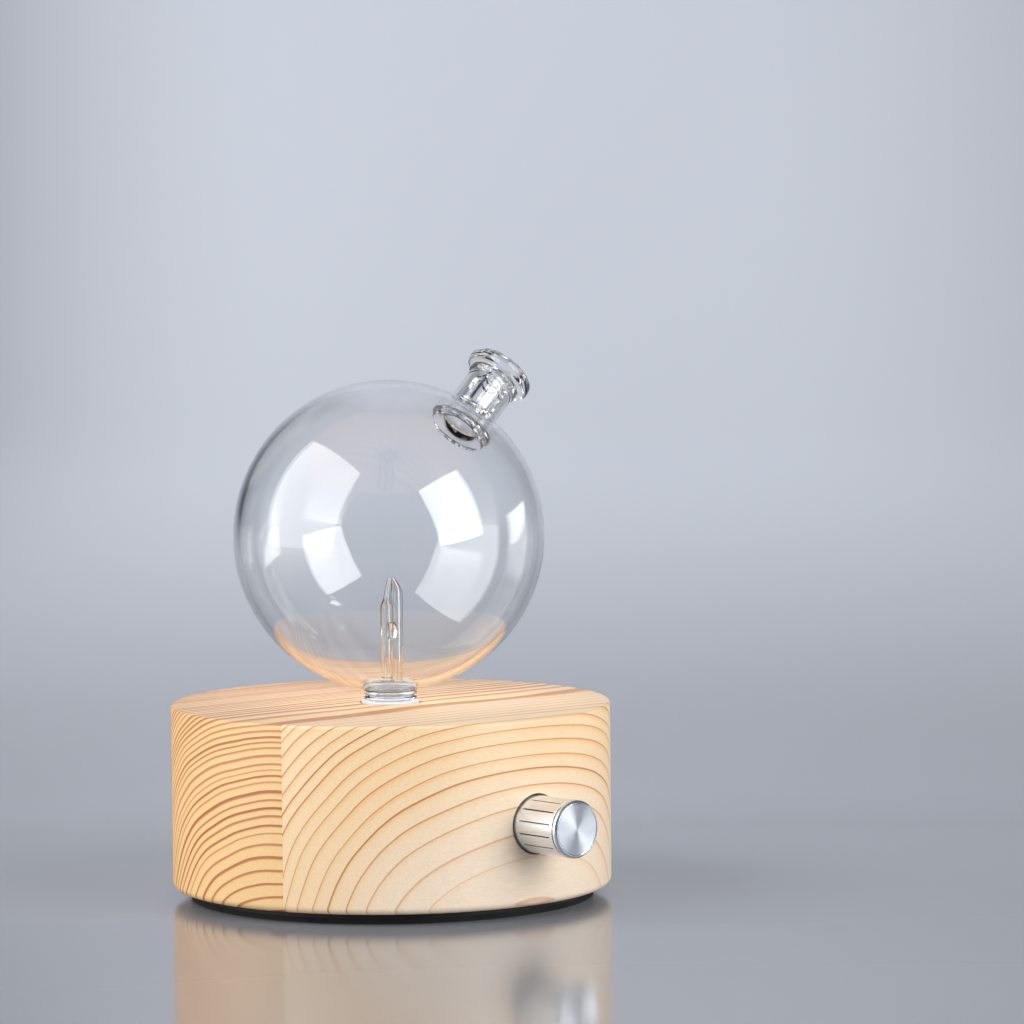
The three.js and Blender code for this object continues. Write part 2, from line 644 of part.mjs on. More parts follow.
// A thin steel strap over the motor, screwed to the base plate on both sides.
function addStrap(parent) {
  const inner = MOTOR_R + GAP;
  const outer = inner + STRAP_T;
  const foot = WOOD_Z + 0.1 - PUMP_Z;
  const shape = new THREE.Shape();
  shape.moveTo(-STRAP_REACH, foot);
  shape.lineTo(-inner, foot);
  shape.lineTo(-inner, 0);
  shape.absarc(0, 0, inner, Math.PI, 0, true);
  shape.lineTo(inner, foot);
  shape.lineTo(STRAP_REACH, foot);
  shape.lineTo(STRAP_REACH, foot + STRAP_T);
  shape.lineTo(outer, foot + STRAP_T);
  shape.lineTo(outer, 0);
  shape.absarc(0, 0, outer, 0, Math.PI, false);
  shape.lineTo(-outer, foot + STRAP_T);
  shape.lineTo(-STRAP_REACH, foot + STRAP_T);
  const depth = STRAP_W;
  const band = new THREE.ExtrudeGeometry(shape, { depth, bevelEnabled: false, curveSegments: 12 });
  band.rotateX(Math.PI / 2).rotateZ(Math.PI / 2).translate(-19, PUMP_Y, PUMP_Z);
  const holes = STRAP_SCREWS.map(([x, y]) => rod(SCREW_R + GAP, WOOD_Z - 1, 6, 8).translate(x, y, 0));
  add(parent, 'motor_strap', cut(band, ...holes), STEEL());
  STRAP_SCREWS.forEach(([x, y], i) => {
    const screw = add(parent, `strap_screw_${i + 1}`, panScrew(2, 1.2, SCREW_R, 2), STEEL());
    screw.position.set(x, y, WOOD_Z + 1.2);
  });
}

// ---- Hose and wires --------------------------------------------------------

function addHose(parent) {
  const outletX = HOUSING_L + 0.6;
  const outletZ = PUMP_Z + NIPPLE_Z;
  const route = [
    [outletX, PUMP_Y, outletZ], [outletX + 3, PUMP_Y, outletZ], [outletX + 6, PUMP_Y, outletZ],
    [34, 21, 34.4], [39, 16, 29], [38, 9, 21], [30, 3, 13.5], [19, 0.5, 9.4], [9, 0, 8.8],
    [2.6, 0, 12], [0.2, 0, 17.5], [0, 0, 21], [0, 0, 24.5], [0, 0, 28.4],
  ];
  add(parent, 'air_hose', along(route, disc(HOSE_R, HOSE_BORE_R), 26), GREY_SILICONE());
}

// Each pair of wires leaves its terminals side by side and ends in its connector.
function addWires(parent) {
  const shape = disc(WIRE_R);
  const pairs = [[-1.6, RED_WIRE], [1.6, BLACK_WIRE]];
  pairs.forEach(([shift, colour], i) => {
    const tabY = PUMP_Y + 3.75 * shift;
    const route = [
      [-36.5, tabY, PUMP_Z], [-38, tabY, PUMP_Z], [-41.5 - shift, 11 + shift, 13.5 + 2 * shift],
      [-41.5, 0, 11 + 1.5 * shift],
      [-38, -14, 10 + shift], [-30, -25, 11.5 + shift], [-21.4, -29 - shift, 12.5],
    ];
    add(parent, `motor_wire_${i + 1}`, along(route, shape, 14), colour());
  });
  pairs.forEach(([shift, colour], i) => {
    const endX = 2 * shift;
    const route = [
      [endX, JACK_FLOOR_Y - 14.4, JACK_Z], [endX, JACK_FLOOR_Y - 15.6, JACK_Z],
      [14 + shift, 38.5, JACK_Z - 3 + shift], [27, 36 + shift / 2, 8 + shift],
      [40, 20, 7 + shift], [43.5, -2, 7 + shift], [39, -17, 9 + shift], [30, -26, 11.5 + shift],
      [21.4, -29 + shift, 12.5],
    ];
    add(parent, `power_wire_${i + 1}`, along(route, shape, 20), colour());
  });
}

// ---- Assembly --------------------------------------------------------------

const diffuser = new THREE.Group();
addBoards(diffuser);
addFoot(diffuser);
addSocket(diffuser);
addGlass(diffuser);
addControl(diffuser);
addJack(diffuser);
addBoard(diffuser);
addPump(diffuser);
addStrap(diffuser);
addHose(diffuser);
addWires(diffuser);

export default diffuser;
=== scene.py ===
# %% [markdown]
# # A nebulising oil diffuser in pine, glass and aluminium
# The object is a glass bulb that stands in a round pine base. The base holds an
# air pump and a speed control, and the bulb holds the nozzle that turns oil into mist.
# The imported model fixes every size, place and movement. This script adds the looks:
# fine meshes where the model is faceted, and a procedural finish on every piece.

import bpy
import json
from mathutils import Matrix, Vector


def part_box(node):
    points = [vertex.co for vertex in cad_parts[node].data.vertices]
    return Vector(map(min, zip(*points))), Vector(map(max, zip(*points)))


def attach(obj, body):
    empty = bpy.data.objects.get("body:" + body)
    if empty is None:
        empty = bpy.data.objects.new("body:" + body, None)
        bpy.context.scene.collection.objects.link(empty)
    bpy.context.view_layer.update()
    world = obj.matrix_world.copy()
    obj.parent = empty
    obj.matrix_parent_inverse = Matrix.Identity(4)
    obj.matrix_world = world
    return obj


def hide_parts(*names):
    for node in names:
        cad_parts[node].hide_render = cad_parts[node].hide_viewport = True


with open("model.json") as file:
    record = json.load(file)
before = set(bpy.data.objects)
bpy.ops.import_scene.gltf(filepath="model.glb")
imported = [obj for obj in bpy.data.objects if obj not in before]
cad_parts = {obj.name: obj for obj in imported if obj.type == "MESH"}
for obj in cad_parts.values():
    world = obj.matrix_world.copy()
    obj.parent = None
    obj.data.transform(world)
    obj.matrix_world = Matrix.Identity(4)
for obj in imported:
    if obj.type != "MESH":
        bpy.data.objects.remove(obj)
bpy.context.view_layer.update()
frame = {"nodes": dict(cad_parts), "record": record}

# %% Libraries and units
import json
import math

import bmesh
import bpy
import numpy as np
from mathutils import Matrix, Vector

MM = 0.001  # the scene is in metres, the sizes below read better in millimetres
TAU = 2 * math.pi

# %% [markdown]
# ## Sizes that come from the frame
# A piece can be placed by typing its numbers again, or by asking the frame where the
# CAD node is. Asking is safer: when the model changes, the looks follow it.

# %% Read the base, the bulb and the knob
wood_low, wood_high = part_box("wood_back")
front_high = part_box("wood_front")[1]
BASE_R = wood_high.y
WOOD_Z = wood_low.z
WOOD_TOP = wood_high.z
GLUE_Y = (front_high.y + wood_low.y) / 2

bulb_low, bulb_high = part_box("glass_bulb")
BULB_R = bulb_high.y
STEM_BOTTOM = bulb_low.z
BULB_Z = 98.6 * MM

knob_low, knob_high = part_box("knob_shell")
KNOB_R = knob_high.x
KNOB_Z = (knob_low.z + knob_high.z) / 2
KNOB_FACE = knob_low.y
KNOB_BACK = knob_high.y
print(f"base radius {BASE_R / MM:.1f}, bulb radius {BULB_R / MM:.1f}, knob radius {KNOB_R / MM:.1f} mm")

# %% [markdown]
# ## Camera
# A long lens far away keeps the round base nearly free of perspective, as in a
# catalogue picture. The camera stands to the left of the knob and looks slightly down.

# %% Make the camera
CAMERA_TURN = math.radians(40.0)  # how far the camera stands to the left of the knob
CAMERA_DISTANCE = 1.473
CAMERA_HEIGHT = 0.2177
AIM_RIGHT = math.radians(1.310)
AIM_DOWN = math.radians(4.389)
CAMERA_ROLL = math.radians(-0.536)
LENS = 190.4

camera_data = bpy.data.cameras.new("studio_camera")
camera_data.lens = LENS
camera_data.sensor_width = 36.0
camera = bpy.data.objects.new("studio_camera", camera_data)
bpy.context.scene.collection.objects.link(camera)
camera_place = Matrix.Translation((
    -CAMERA_DISTANCE * math.sin(CAMERA_TURN),
    -CAMERA_DISTANCE * math.cos(CAMERA_TURN),
    CAMERA_HEIGHT,
))
camera_turn = (
    Matrix.Rotation(-(CAMERA_TURN + AIM_RIGHT), 4, "Z")
    @ Matrix.Rotation(math.pi / 2 - AIM_DOWN, 4, "X")
    @ Matrix.Rotation(CAMERA_ROLL, 4, "Z")
)
camera.matrix_world = camera_place @ camera_turn
bpy.context.scene.camera = camera
bpy.context.scene.view_settings.view_transform = "Standard"
print("camera at", [round(v, 3) for v in camera.matrix_world.translation])

# %% [markdown]
# ## Small helpers for meshes
# Most pieces here are turned or blown, so they are round about an axis. One helper
# rounds the corners of a profile with true arcs, another spins the profile into a
# closed mesh. A spun mesh is light, exact, and has no seam.

# %% Profiles and turned meshes
def rounded(corners, steps=6):
    """Turns [(radius, height, fillet), ...] into points, with an arc at each filleted corner."""
    points = []
    for i, (r, z, fillet) in enumerate(corners):
        here = Vector((r, z))
        if fillet <= 0:
            points.append(here)
            continue
        before = Vector(corners[i - 1][:2])
        after = Vector(corners[(i + 1) % len(corners)][:2])
        to_before = (before - here).normalized()
        to_after = (after - here).normalized()
        half = to_before.angle(to_after) / 2
        centre = here + (to_before + to_after).normalized() * (fillet / math.sin(half))
        first = here + to_before * (fillet / math.tan(half)) - centre
        last = here + to_after * (fillet / math.tan(half)) - centre
        sweep = first.angle_signed(last)
        for k in range(steps + 1):
            points.append(centre + Matrix.Rotation(-sweep * k / steps, 2) @ first)
    return [(p.x, p.y) for p in points]


def mesh_object(name, vertices, faces, material=None):
    mesh = bpy.data.meshes.new(name)
    mesh.from_pydata([tuple(v) for v in vertices], [], faces)
    work = bmesh.new()
    work.from_mesh(mesh)
    bmesh.ops.recalc_face_normals(work, faces=work.faces)
    work.to_mesh(mesh)
    work.free()
    piece = bpy.data.objects.new(name, mesh)
    bpy.context.scene.collection.objects.link(piece)
    if material is not None:
        mesh.materials.append(material)
    return piece


def smooth(piece, sharp_degrees=35):
    piece.data.shade_smooth()
    piece.data.set_sharp_from_angle(angle=math.radians(sharp_degrees))
    return piece


def stitch_rows(rows, closed):
    """Faces between rows of points that run round an axis. A row of one point is a pole."""
    faces = []
    starts = np.cumsum([0] + [len(row) for row in rows])
    pairs = [(i, i + 1) for i in range(len(rows) - 1)]
    if closed:
        pairs.append((len(rows) - 1, 0))
    for a, b in pairs:
        count = max(len(rows[a]), len(rows[b]))
        for k in range(count):
            following = (k + 1) % count
            near = [starts[a]] if len(rows[a]) == 1 else [starts[a] + k, starts[a] + following]
            far = [starts[b]] if len(rows[b]) == 1 else [starts[b] + following, starts[b] + k]
            faces.append([int(v) for v in near + far])
    return faces


def turned(name, profile, material=None, segments=128, place=Matrix(), sharp=35):
    """Spins a profile about Z. It starts and ends on the axis, or closes on itself."""
    angles = np.arange(segments) * TAU / segments
    rows = []
    for r, z in profile:
        if r < 1e-9:
            rows.append([place @ Vector((0, 0, z))])
        else:
            rows.append([place @ Vector((r * math.cos(a), r * math.sin(a), z)) for a in angles])
    on_axis = len(rows[0]) == 1 and len(rows[-1]) == 1
    piece = mesh_object(name, [v for row in rows for v in row], stitch_rows(rows, not on_axis), material)
    return smooth(piece, sharp)


print("helpers ready: rounded, mesh_object, smooth, stitch_rows, turned")

# %% [markdown]
# ## Small helpers for node trees
# A material or a Geometry Nodes tree is a chain of small boxes. Two short functions
# keep the wiring readable: one makes any node and fills its sockets, one does maths.

# %% Node helpers
def fill_sockets(tree, made, values):
    """Links each value that is a socket, and sets each one that is plain."""
    for key, value in values.items():
        socket = made.inputs[key]
        if isinstance(value, bpy.types.NodeSocket):
            tree.links.new(value, socket)
        else:
            socket.default_value = value


def node(tree, kind, values=None, **settings):
    made = tree.nodes.new(kind)
    for key, value in settings.items():
        setattr(made, key, value)
    fill_sockets(tree, made, values or {})
    return made


def maths(tree, operation, first, second=0.0, third=0.0):
    values = {0: first, 1: second}
    if operation == "MULTIPLY_ADD":
        values[2] = third
    return node(tree, "ShaderNodeMath", values, operation=operation).outputs[0]


def remap(tree, value, low, high, to_low=0.0, to_high=1.0, kind="SMOOTHSTEP"):
    values = {"Value": value, "From Min": low, "From Max": high, "To Min": to_low, "To Max": to_high}
    return node(tree, "ShaderNodeMapRange", values, interpolation_type=kind).outputs["Result"]


def blend_colour(tree, share, first, second, kind="MIX"):
    mixer = node(tree, "ShaderNodeMix", {0: share, 6: first, 7: second}, data_type="RGBA", blend_type=kind)
    return mixer.outputs[2]


def new_group(name, inputs, outputs, kind="ShaderNodeTree"):
    """A node group with named sockets. Returns the tree, its inputs and its output node."""
    tree = bpy.data.node_groups.new(name, kind)
    for socket, value in inputs.items():
        if value == "geometry":
            tree.interface.new_socket(socket, in_out="INPUT", socket_type="NodeSocketGeometry")
            continue
        if value == "material":
            tree.interface.new_socket(socket, in_out="INPUT", socket_type="NodeSocketMaterial")
            continue
        form = "NodeSocketFloat"
        if isinstance(value, tuple):
            form = "NodeSocketVector" if len(value) == 3 else "NodeSocketColor"
        if isinstance(value, int):
            form = "NodeSocketInt"
        made = tree.interface.new_socket(socket, in_out="INPUT", socket_type=form)
        made.default_value = value
    for socket, form in outputs.items():
        tree.interface.new_socket(socket, in_out="OUTPUT", socket_type="NodeSocket" + form)
    entry = tree.nodes.new("NodeGroupInput")
    exit_node = tree.nodes.new("NodeGroupOutput")
    return tree, entry.outputs, exit_node


def place_group(tree, group, values):
    made = tree.nodes.new("ShaderNodeGroup")
    made.node_tree = group
    fill_sockets(tree, made, values)
    return made.outputs


def new_material(name, **sockets):
    """A material with one Principled shader. Plain values go on the shader's own sockets."""
    material = bpy.data.materials.new(name)
    material.use_nodes = True
    tree = material.node_tree
    shader = tree.nodes["Principled BSDF"]
    for key, value in sockets.items():
        shader.inputs[key.replace("_", " ")].default_value = value
    place = node(tree, "ShaderNodeTexCoord").outputs["Object"]
    return material, tree, shader, place


def wire(tree, source, socket):
    tree.links.new(source, socket)


def bump(tree, height, shader, distance, strength=1.0):
    made = node(tree, "ShaderNodeBump", {"Height": height, "Distance": distance, "Strength": strength})
    tree.links.new(made.outputs["Normal"], shader.inputs["Normal"])


print("node helpers ready")

# %% [markdown]
# ## Studio
# The stage is one sheet that runs from the table up into the background in a wide
# curve, so there is no hard horizon. Its background darkens to both sides, outside the
# picture: glass bends that darkness into its edges, and this is what draws its outline.
# It lets light through from behind, so that the other views aren't blocked. Two large
# softboxes stand left and right of the camera, and a third strip stands behind on the
# right. Their shapes show in the glass.

# %% Stage sheet
STAGE_HALF_WIDTH = 1.1
STAGE_FRONT = -1.6
CURVE_START = 0.13
CURVE_R = 0.42
STAGE_TOP = 1.5

curve_steps = [i / 24 * math.pi / 2 for i in range(25)]
sheet_profile = [(STAGE_FRONT, 0.0), (0.0, 0.0)]
sheet_profile += [(CURVE_START + CURVE_R * math.sin(a), CURVE_R * (1 - math.cos(a))) for a in curve_steps]
sheet_profile.append((CURVE_START + CURVE_R, STAGE_TOP))
to_camera = Matrix.Rotation(-CAMERA_TURN, 4, "Z")
sheet_points = []
for along, up in sheet_profile:
    for side in (-STAGE_HALF_WIDTH, STAGE_HALF_WIDTH):
        sheet_points.append(to_camera @ Vector((side, along, up)))
sheet_faces = [(2 * i, 2 * i + 1, 2 * i + 3, 2 * i + 2) for i in range(len(sheet_profile) - 1)]

stage_material, tree, shader, place = new_material("stage_paper", Roughness=0.13, Specular_IOR_Level=0.75)
STAGE_COLOUR = (0.525, 0.555, 0.62, 1)
STAGE_CLOUD = (0.55, 0.58, 0.645, 1)
STAGE_SHADE = (0.045, 0.05, 0.06, 1)
SHADE_LEFT = (-0.03, -0.31)  # where the shade starts and is full, from the middle
SHADE_RIGHT = (0.12, 0.55)
SHADE_HEIGHT = (0.01, 0.12)  # the table stays free of the shade
TABLE_SHADE_SHARE = 0.62  # painted shade: the table is darker than the background
FLOOR_HEIGHT = 0.10
FRONT_SHADE_SHARE = 0.68  # and the painted shade darkens it further towards the front
FRONT_DEPTH = (-0.12, 0.16)
cloudy = node(tree, "ShaderNodeTexNoise", {"Vector": place, "Scale": 2.2, "Detail": 2.0}).outputs["Fac"]
tone = blend_colour(tree, remap(tree, cloudy, 0.3, 0.7), STAGE_COLOUR, STAGE_CLOUD)
rightward = tuple(to_camera @ Vector((1, 0, 0)))
sideways = node(
    tree, "ShaderNodeVectorMath", {0: place, 1: rightward}, operation="DOT_PRODUCT").outputs["Value"]
height = node(tree, "ShaderNodeSeparateXYZ", {0: place}).outputs["Z"]
to_left = remap(tree, sideways, *SHADE_LEFT)
to_right = remap(tree, sideways, *SHADE_RIGHT)
edge = maths(tree, "MULTIPLY", maths(tree, "MAXIMUM", to_left, to_right), remap(tree, height, *SHADE_HEIGHT))
forward = tuple(to_camera @ Vector((0, 1, 0)))
deep = node(tree, "ShaderNodeVectorMath", {0: place, 1: forward}, operation="DOT_PRODUCT").outputs["Value"]
# painted shade on the table: darker low down, and darker still towards the front
low_down = remap(tree, height, 0.0, FLOOR_HEIGHT, TABLE_SHADE_SHARE, 1.0)
table = maths(tree, "MULTIPLY", low_down, remap(tree, deep, *FRONT_DEPTH, FRONT_SHADE_SHARE, 1.0))
tone = blend_colour(tree, 1.0, tone, node(
    tree, "ShaderNodeCombineColor", {0: table, 1: table, 2: table}).outputs[0], "MULTIPLY")
tone = blend_colour(tree, edge, tone, STAGE_SHADE)
wire(tree, tone, shader.inputs["Base Color"])
behind = node(tree, "ShaderNodeNewGeometry").outputs["Backfacing"]
clear = node(tree, "ShaderNodeBsdfTransparent").outputs[0]
stage_mix = node(tree, "ShaderNodeMixShader", {0: behind, 1: shader.outputs[0], 2: clear})
wire(tree, stage_mix.outputs[0], tree.nodes["Material Output"].inputs["Surface"])

stage = bpy.data.objects.new("stage_sheet", bpy.data.meshes.new("stage_sheet"))
stage.data.from_pydata([tuple(p) for p in sheet_points], [], sheet_faces)
stage.data.materials.append(stage_material)
stage.data.shade_smooth()
bpy.context.scene.collection.objects.link(stage)
print("stage sheet curves up", CURVE_START + CURVE_R, "m behind the base")

# %% Softboxes
STAGE_CENTRE = Vector((0, 0, BULB_Z))


def softbox(name, turn, rise, distance, width, height, watts, roll=0.0):
    """A rectangular lamp. turn is measured from the camera's side, to the right."""
    data = bpy.data.lights.new(name, "AREA")
    data.shape = "RECTANGLE"
    data.size = width
    data.size_y = height
    data.energy = watts
    lamp = bpy.data.objects.new(name, data)
    bpy.context.scene.collection.objects.link(lamp)
    heading = math.radians(turn) - CAMERA_TURN
    high = math.radians(rise)
    away = Vector((math.sin(heading) * math.cos(high), -math.cos(heading) * math.cos(high), math.sin(high)))
    aim = away.to_track_quat("Z", "Y").to_matrix().to_4x4()
    spot = Matrix.Translation(STAGE_CENTRE + away * distance)
    lamp.matrix_world = spot @ aim @ Matrix.Rotation(roll, 4, "Z")
    lamp.visible_camera = False
    return lamp


softbox("softbox_left", turn=-70, rise=21, distance=0.95, width=1.12, height=1.38, watts=18.5)
softbox("softbox_right", turn=52, rise=20, distance=1.15, width=0.78, height=0.92, watts=14.0,
        roll=math.radians(10))
softbox("strip_back_right", turn=121, rise=-1, distance=0.90, width=0.70, height=0.32, watts=2.6)

world = bpy.data.worlds.new("studio_world")
bpy.context.scene.world = world
world.use_nodes = True
world.node_tree.nodes["Background"].inputs["Color"].default_value = (0.42, 0.45, 0.52, 1)
world.node_tree.nodes["Background"].inputs["Strength"].default_value = 0.12
print("three softboxes and a dim blue-grey world")

# %% [markdown]
# ## Pine
# The base is glued from two boards with the grain along X. A tree grows one ring a
# year, so in a board the rings are long tubes about the centre of the trunk, the pith.
# A flat image can't follow the cut from the side to the top of the block, but a solid
# pattern can: the distance from the pith decides the colour. Each ring adds about the
# same area of wood, so the ring number is the distance squared over a constant.
# Wood darkens slowly outwards within a ring, and ends in a sharp line.

# %% Ring pattern group
def make_ring_group():
    tree, given, leave = new_group(
        "growth_rings",
        {
            "Place": (0.0, 0.0, 0.0), "Pith Y": 0.0, "Pith Z": 0.0, "Ring Area": 250.0,
            "Line Width": 0.4, "Shade Width": 1.4, "Seed": 0.0,
        },
        {"Line": "Float", "Shade": "Float", "Fibre": "Float", "Ring": "Float", "Distance": "Float"},
    )
    in_mm = node(
        tree, "ShaderNodeVectorMath", {0: given["Place"], "Scale": 1000.0}, operation="SCALE").outputs[0]
    parts = node(tree, "ShaderNodeSeparateXYZ", {0: in_mm}).outputs
    slow_x = maths(tree, "MULTIPLY", parts["X"], 0.30)
    seeded = maths(tree, "ADD", slow_x, given["Seed"])
    spot = node(tree, "ShaderNodeCombineXYZ", {0: seeded, 1: parts["Y"], 2: parts["Z"]}).outputs[0]
    wide = node(tree, "ShaderNodeTexNoise", {"Vector": spot, "Scale": 0.035, "Detail": 1.0}).outputs["Fac"]
    fine = node(tree, "ShaderNodeTexNoise", {"Vector": spot, "Scale": 0.16, "Detail": 2.0}).outputs["Fac"]
    sway = maths(tree, "MULTIPLY", maths(tree, "SUBTRACT", wide, 0.5), 3.5)
    ripple = maths(tree, "MULTIPLY", maths(tree, "SUBTRACT", fine, 0.5), 0.25)
    wander = maths(tree, "ADD", sway, ripple)
    across = maths(tree, "SUBTRACT", parts["Y"], given["Pith Y"])
    above = maths(tree, "SUBTRACT", parts["Z"], given["Pith Z"])
    straight = node(tree, "ShaderNodeCombineXYZ", {0: across, 1: above}).outputs[0]
    radius = node(tree, "ShaderNodeVectorMath", {0: straight}, operation="LENGTH").outputs["Value"]
    distance = maths(tree, "ADD", radius, wander)
    uneven = node(tree, "ShaderNodeTexNoise", {
        "W": maths(tree, "ADD", distance, given["Seed"]), "Scale": 0.11, "Detail": 1.0,
    }, noise_dimensions="1D").outputs["Fac"]
    grown = maths(tree, "MULTIPLY_ADD", maths(tree, "SUBTRACT", uneven, 0.5), 2.6, distance)
    number = maths(tree, "DIVIDE", maths(tree, "MULTIPLY", grown, grown), given["Ring Area"])
    spacing = maths(tree, "DIVIDE", given["Ring Area"], maths(tree, "MULTIPLY", grown, 2.0))
    left = maths(tree, "SUBTRACT", 1.0, maths(tree, "FRACT", number))
    inside = maths(tree, "MULTIPLY", left, spacing)
    year = maths(tree, "FLOOR", number)
    luck = node(tree, "ShaderNodeTexWhiteNoise", {
        "W": maths(tree, "ADD", year, given["Seed"]),
    }, noise_dimensions="1D").outputs["Value"]
    width = maths(tree, "MULTIPLY", given["Line Width"], remap(tree, luck, 0, 1, 0.75, 1.3, "LINEAR"))
    falling = remap(tree, inside, width, maths(tree, "MULTIPLY", width, 2.2), 1.0, 0.0)
    past = remap(tree, inside, 0.0, 0.12, 0.0, 1.0, "LINEAR")
    line = maths(tree, "MULTIPLY", falling, past)
    shade = remap(tree, inside, 0.0, given["Shade Width"], 1.0, 0.0)
    thread = node(tree, "ShaderNodeCombineXYZ", {
        0: maths(tree, "MULTIPLY", parts["X"], 0.035), 1: parts["Y"], 2: parts["Z"],
    }).outputs[0]
    fibre = node(tree, "ShaderNodeTexNoise", {
        "Vector": thread, "Scale": 1.9, "Detail": 3.0, "Roughness": 0.7,
    }).outputs["Fac"]
    for name, value in {
        "Line": line, "Shade": maths(tree, "MULTIPLY", shade, past), "Fibre": fibre,
        "Ring": luck, "Distance": distance,
    }.items():
        wire(tree, value, leave.inputs[name])
    return tree


ring_group = make_ring_group()
print("ring group has", len(ring_group.nodes), "nodes")

# %% Pine materials for the two boards
WHITE_PINE = (0.88, 0.72, 0.56, 1)
# painted sheen: the top of the block is painted in this paler, duller tone
TOP_SHEEN_PINE = (0.79, 0.61, 0.41, 1)
PALE_PINE = (0.90, 0.66, 0.40, 1)
AMBER_PINE = (0.86, 0.57, 0.27, 1)
HONEY_PINE = (0.88, 0.47, 0.17, 1)
DARK_PINE = (0.40, 0.11, 0.022, 1)


def pine(name, core, pale, pith_y, pith_z, ring_area, line_width, shade_width, strength, fade, seed):
    """core is the colour near the pith, and the top is painted paler, a painted sheen of glancing light.
    fade is (near, far, share): nearer to the pith than near, the ring lines have only that share of their
    strength."""
    material, tree, shader, place = new_material(name, Roughness=0.5)
    rings = place_group(tree, ring_group, {
        "Place": place, "Pith Y": pith_y, "Pith Z": pith_z, "Ring Area": ring_area,
        "Line Width": line_width, "Shade Width": shade_width, "Seed": seed,
    })
    force = remap(tree, rings["Distance"], fade[0], fade[1], fade[2], 1.0)
    by_ring = remap(tree, rings["Ring"], 0, 1, 0.6, 1.0, "LINEAR")
    blotch = node(tree, "ShaderNodeTexNoise", {"Vector": place, "Scale": 22.0, "Detail": 2.0}).outputs["Fac"]
    warm = maths(tree, "MULTIPLY", rings["Shade"], remap(tree, blotch, 0.3, 0.7, 0.35, 0.85))
    plain = blend_colour(tree, remap(tree, rings["Distance"], fade[0], fade[1]), core, pale)
    height = node(tree, "ShaderNodeSeparateXYZ", {0: place}).outputs["Z"]
    # painted sheen: the top few tenths of a millimetre are blended to the paler tone
    painted_top_sheen = remap(tree, height, WOOD_TOP - 0.5 * MM, WOOD_TOP - 0.05 * MM, 0.0, 0.8)
    plain = blend_colour(tree, painted_top_sheen, plain, TOP_SHEEN_PINE)
    ground = blend_colour(tree, maths(tree, "MULTIPLY", warm, force), plain, HONEY_PINE)
    threads = remap(tree, rings["Fibre"], 0.3, 0.7, 0.93, 1.04, "LINEAR")
    ground = blend_colour(tree, 1.0, ground, node(
        tree, "ShaderNodeCombineColor", {0: threads, 1: threads, 2: threads}).outputs[0], "MULTIPLY")
    dark = maths(tree, "MULTIPLY", maths(tree, "MULTIPLY", rings["Line"], by_ring), maths(
        tree, "MULTIPLY", force, strength))
    wire(tree, blend_colour(tree, dark, ground, DARK_PINE), shader.inputs["Base Color"])
    wire(tree, remap(tree, rings["Fibre"], 0.3, 0.7, 0.34, 0.50, "LINEAR"), shader.inputs["Roughness"])
    relief = maths(tree, "MULTIPLY_ADD", rings["Line"], 0.6, rings["Fibre"])
    bump(tree, relief, shader, 0.00006, 0.5)
    return material


back_pine = pine(
    "pine_back", AMBER_PINE, AMBER_PINE, pith_y=-22, pith_z=-24, ring_area=250,
    line_width=0.42, shade_width=1.9, strength=1.0, fade=(20, 30, 0.8), seed=4.0)
front_pine = pine(
    "pine_front", WHITE_PINE, PALE_PINE, pith_y=-85, pith_z=-8, ring_area=416,
    line_width=0.23, shade_width=1.8, strength=0.9, fade=(34, 62, 0.45), seed=31.0)
print("two pines, one ring group")

# %% [markdown]
# ## The boards
# The block is a turned disc with a pocket milled from below, a hole on top for the
# glass stem, a hole in front for the knob and one behind for the power socket. A cut
# is a boolean, and on a fine round blank it leaves clean edges. The blank is made once,
# cut once, and then split at the glue line into its two boards.

# %% Cut the blank
TOP_ROUND = 0.8 * MM
FOOT_ROUND = 2.0 * MM
POCKET_R = 49 * MM
POCKET_FLAT_Y = -45 * MM
CEILING = 10 * MM
HOLE_R = 8.2 * MM
KNOB_HOLE_R = 8.2 * MM
KNOB_HOLE_DEPTH = 5 * MM
BUSHING_HOLE_R = 4.3 * MM
BUSHING_CUT_Y = -55 * MM  # in the open, inside the knob's hole
JACK_Z = 14 * MM
JACK_RECESS_R = 6.5 * MM
JACK_HOLE_R = 5.6 * MM
JACK_FLOOR_Y = 55 * MM
REACH = 1 * MM  # how far a cutter runs past the face it opens


def box_mesh(name, low, high):
    corners = [(x, y, z) for x in (low[0], high[0]) for y in (low[1], high[1]) for z in (low[2], high[2])]
    faces = [(0, 1, 3, 2), (4, 6, 7, 5), (0, 4, 5, 1), (2, 3, 7, 6), (0, 2, 6, 4), (1, 5, 7, 3)]
    return mesh_object(name, corners, faces)


def rod_along_y(name, radius, y_low, y_high, z, segments=96):
    lay_down = Matrix.Translation((0, 0, z)) @ Matrix.Rotation(-math.pi / 2, 4, "X")
    profile = [(0, y_low), (radius, y_low), (radius, y_high), (0, y_high)]
    return turned(name, profile, segments=segments, place=lay_down)


def boolean(piece, tool, operation="DIFFERENCE"):
    """Cuts the piece with a tool and throws the tool away."""
    modifier = piece.modifiers.new("cut", "BOOLEAN")
    modifier.operation = operation
    modifier.solver = "EXACT"
    modifier.object = tool
    graph = bpy.context.evaluated_depsgraph_get()
    piece.data = bpy.data.meshes.new_from_object(piece.evaluated_get(graph), depsgraph=graph)
    piece.modifiers.clear()
    bpy.data.objects.remove(tool)


def copy_of(piece, name):
    twin = bpy.data.objects.new(name, piece.data.copy())
    bpy.context.scene.collection.objects.link(twin)
    return twin


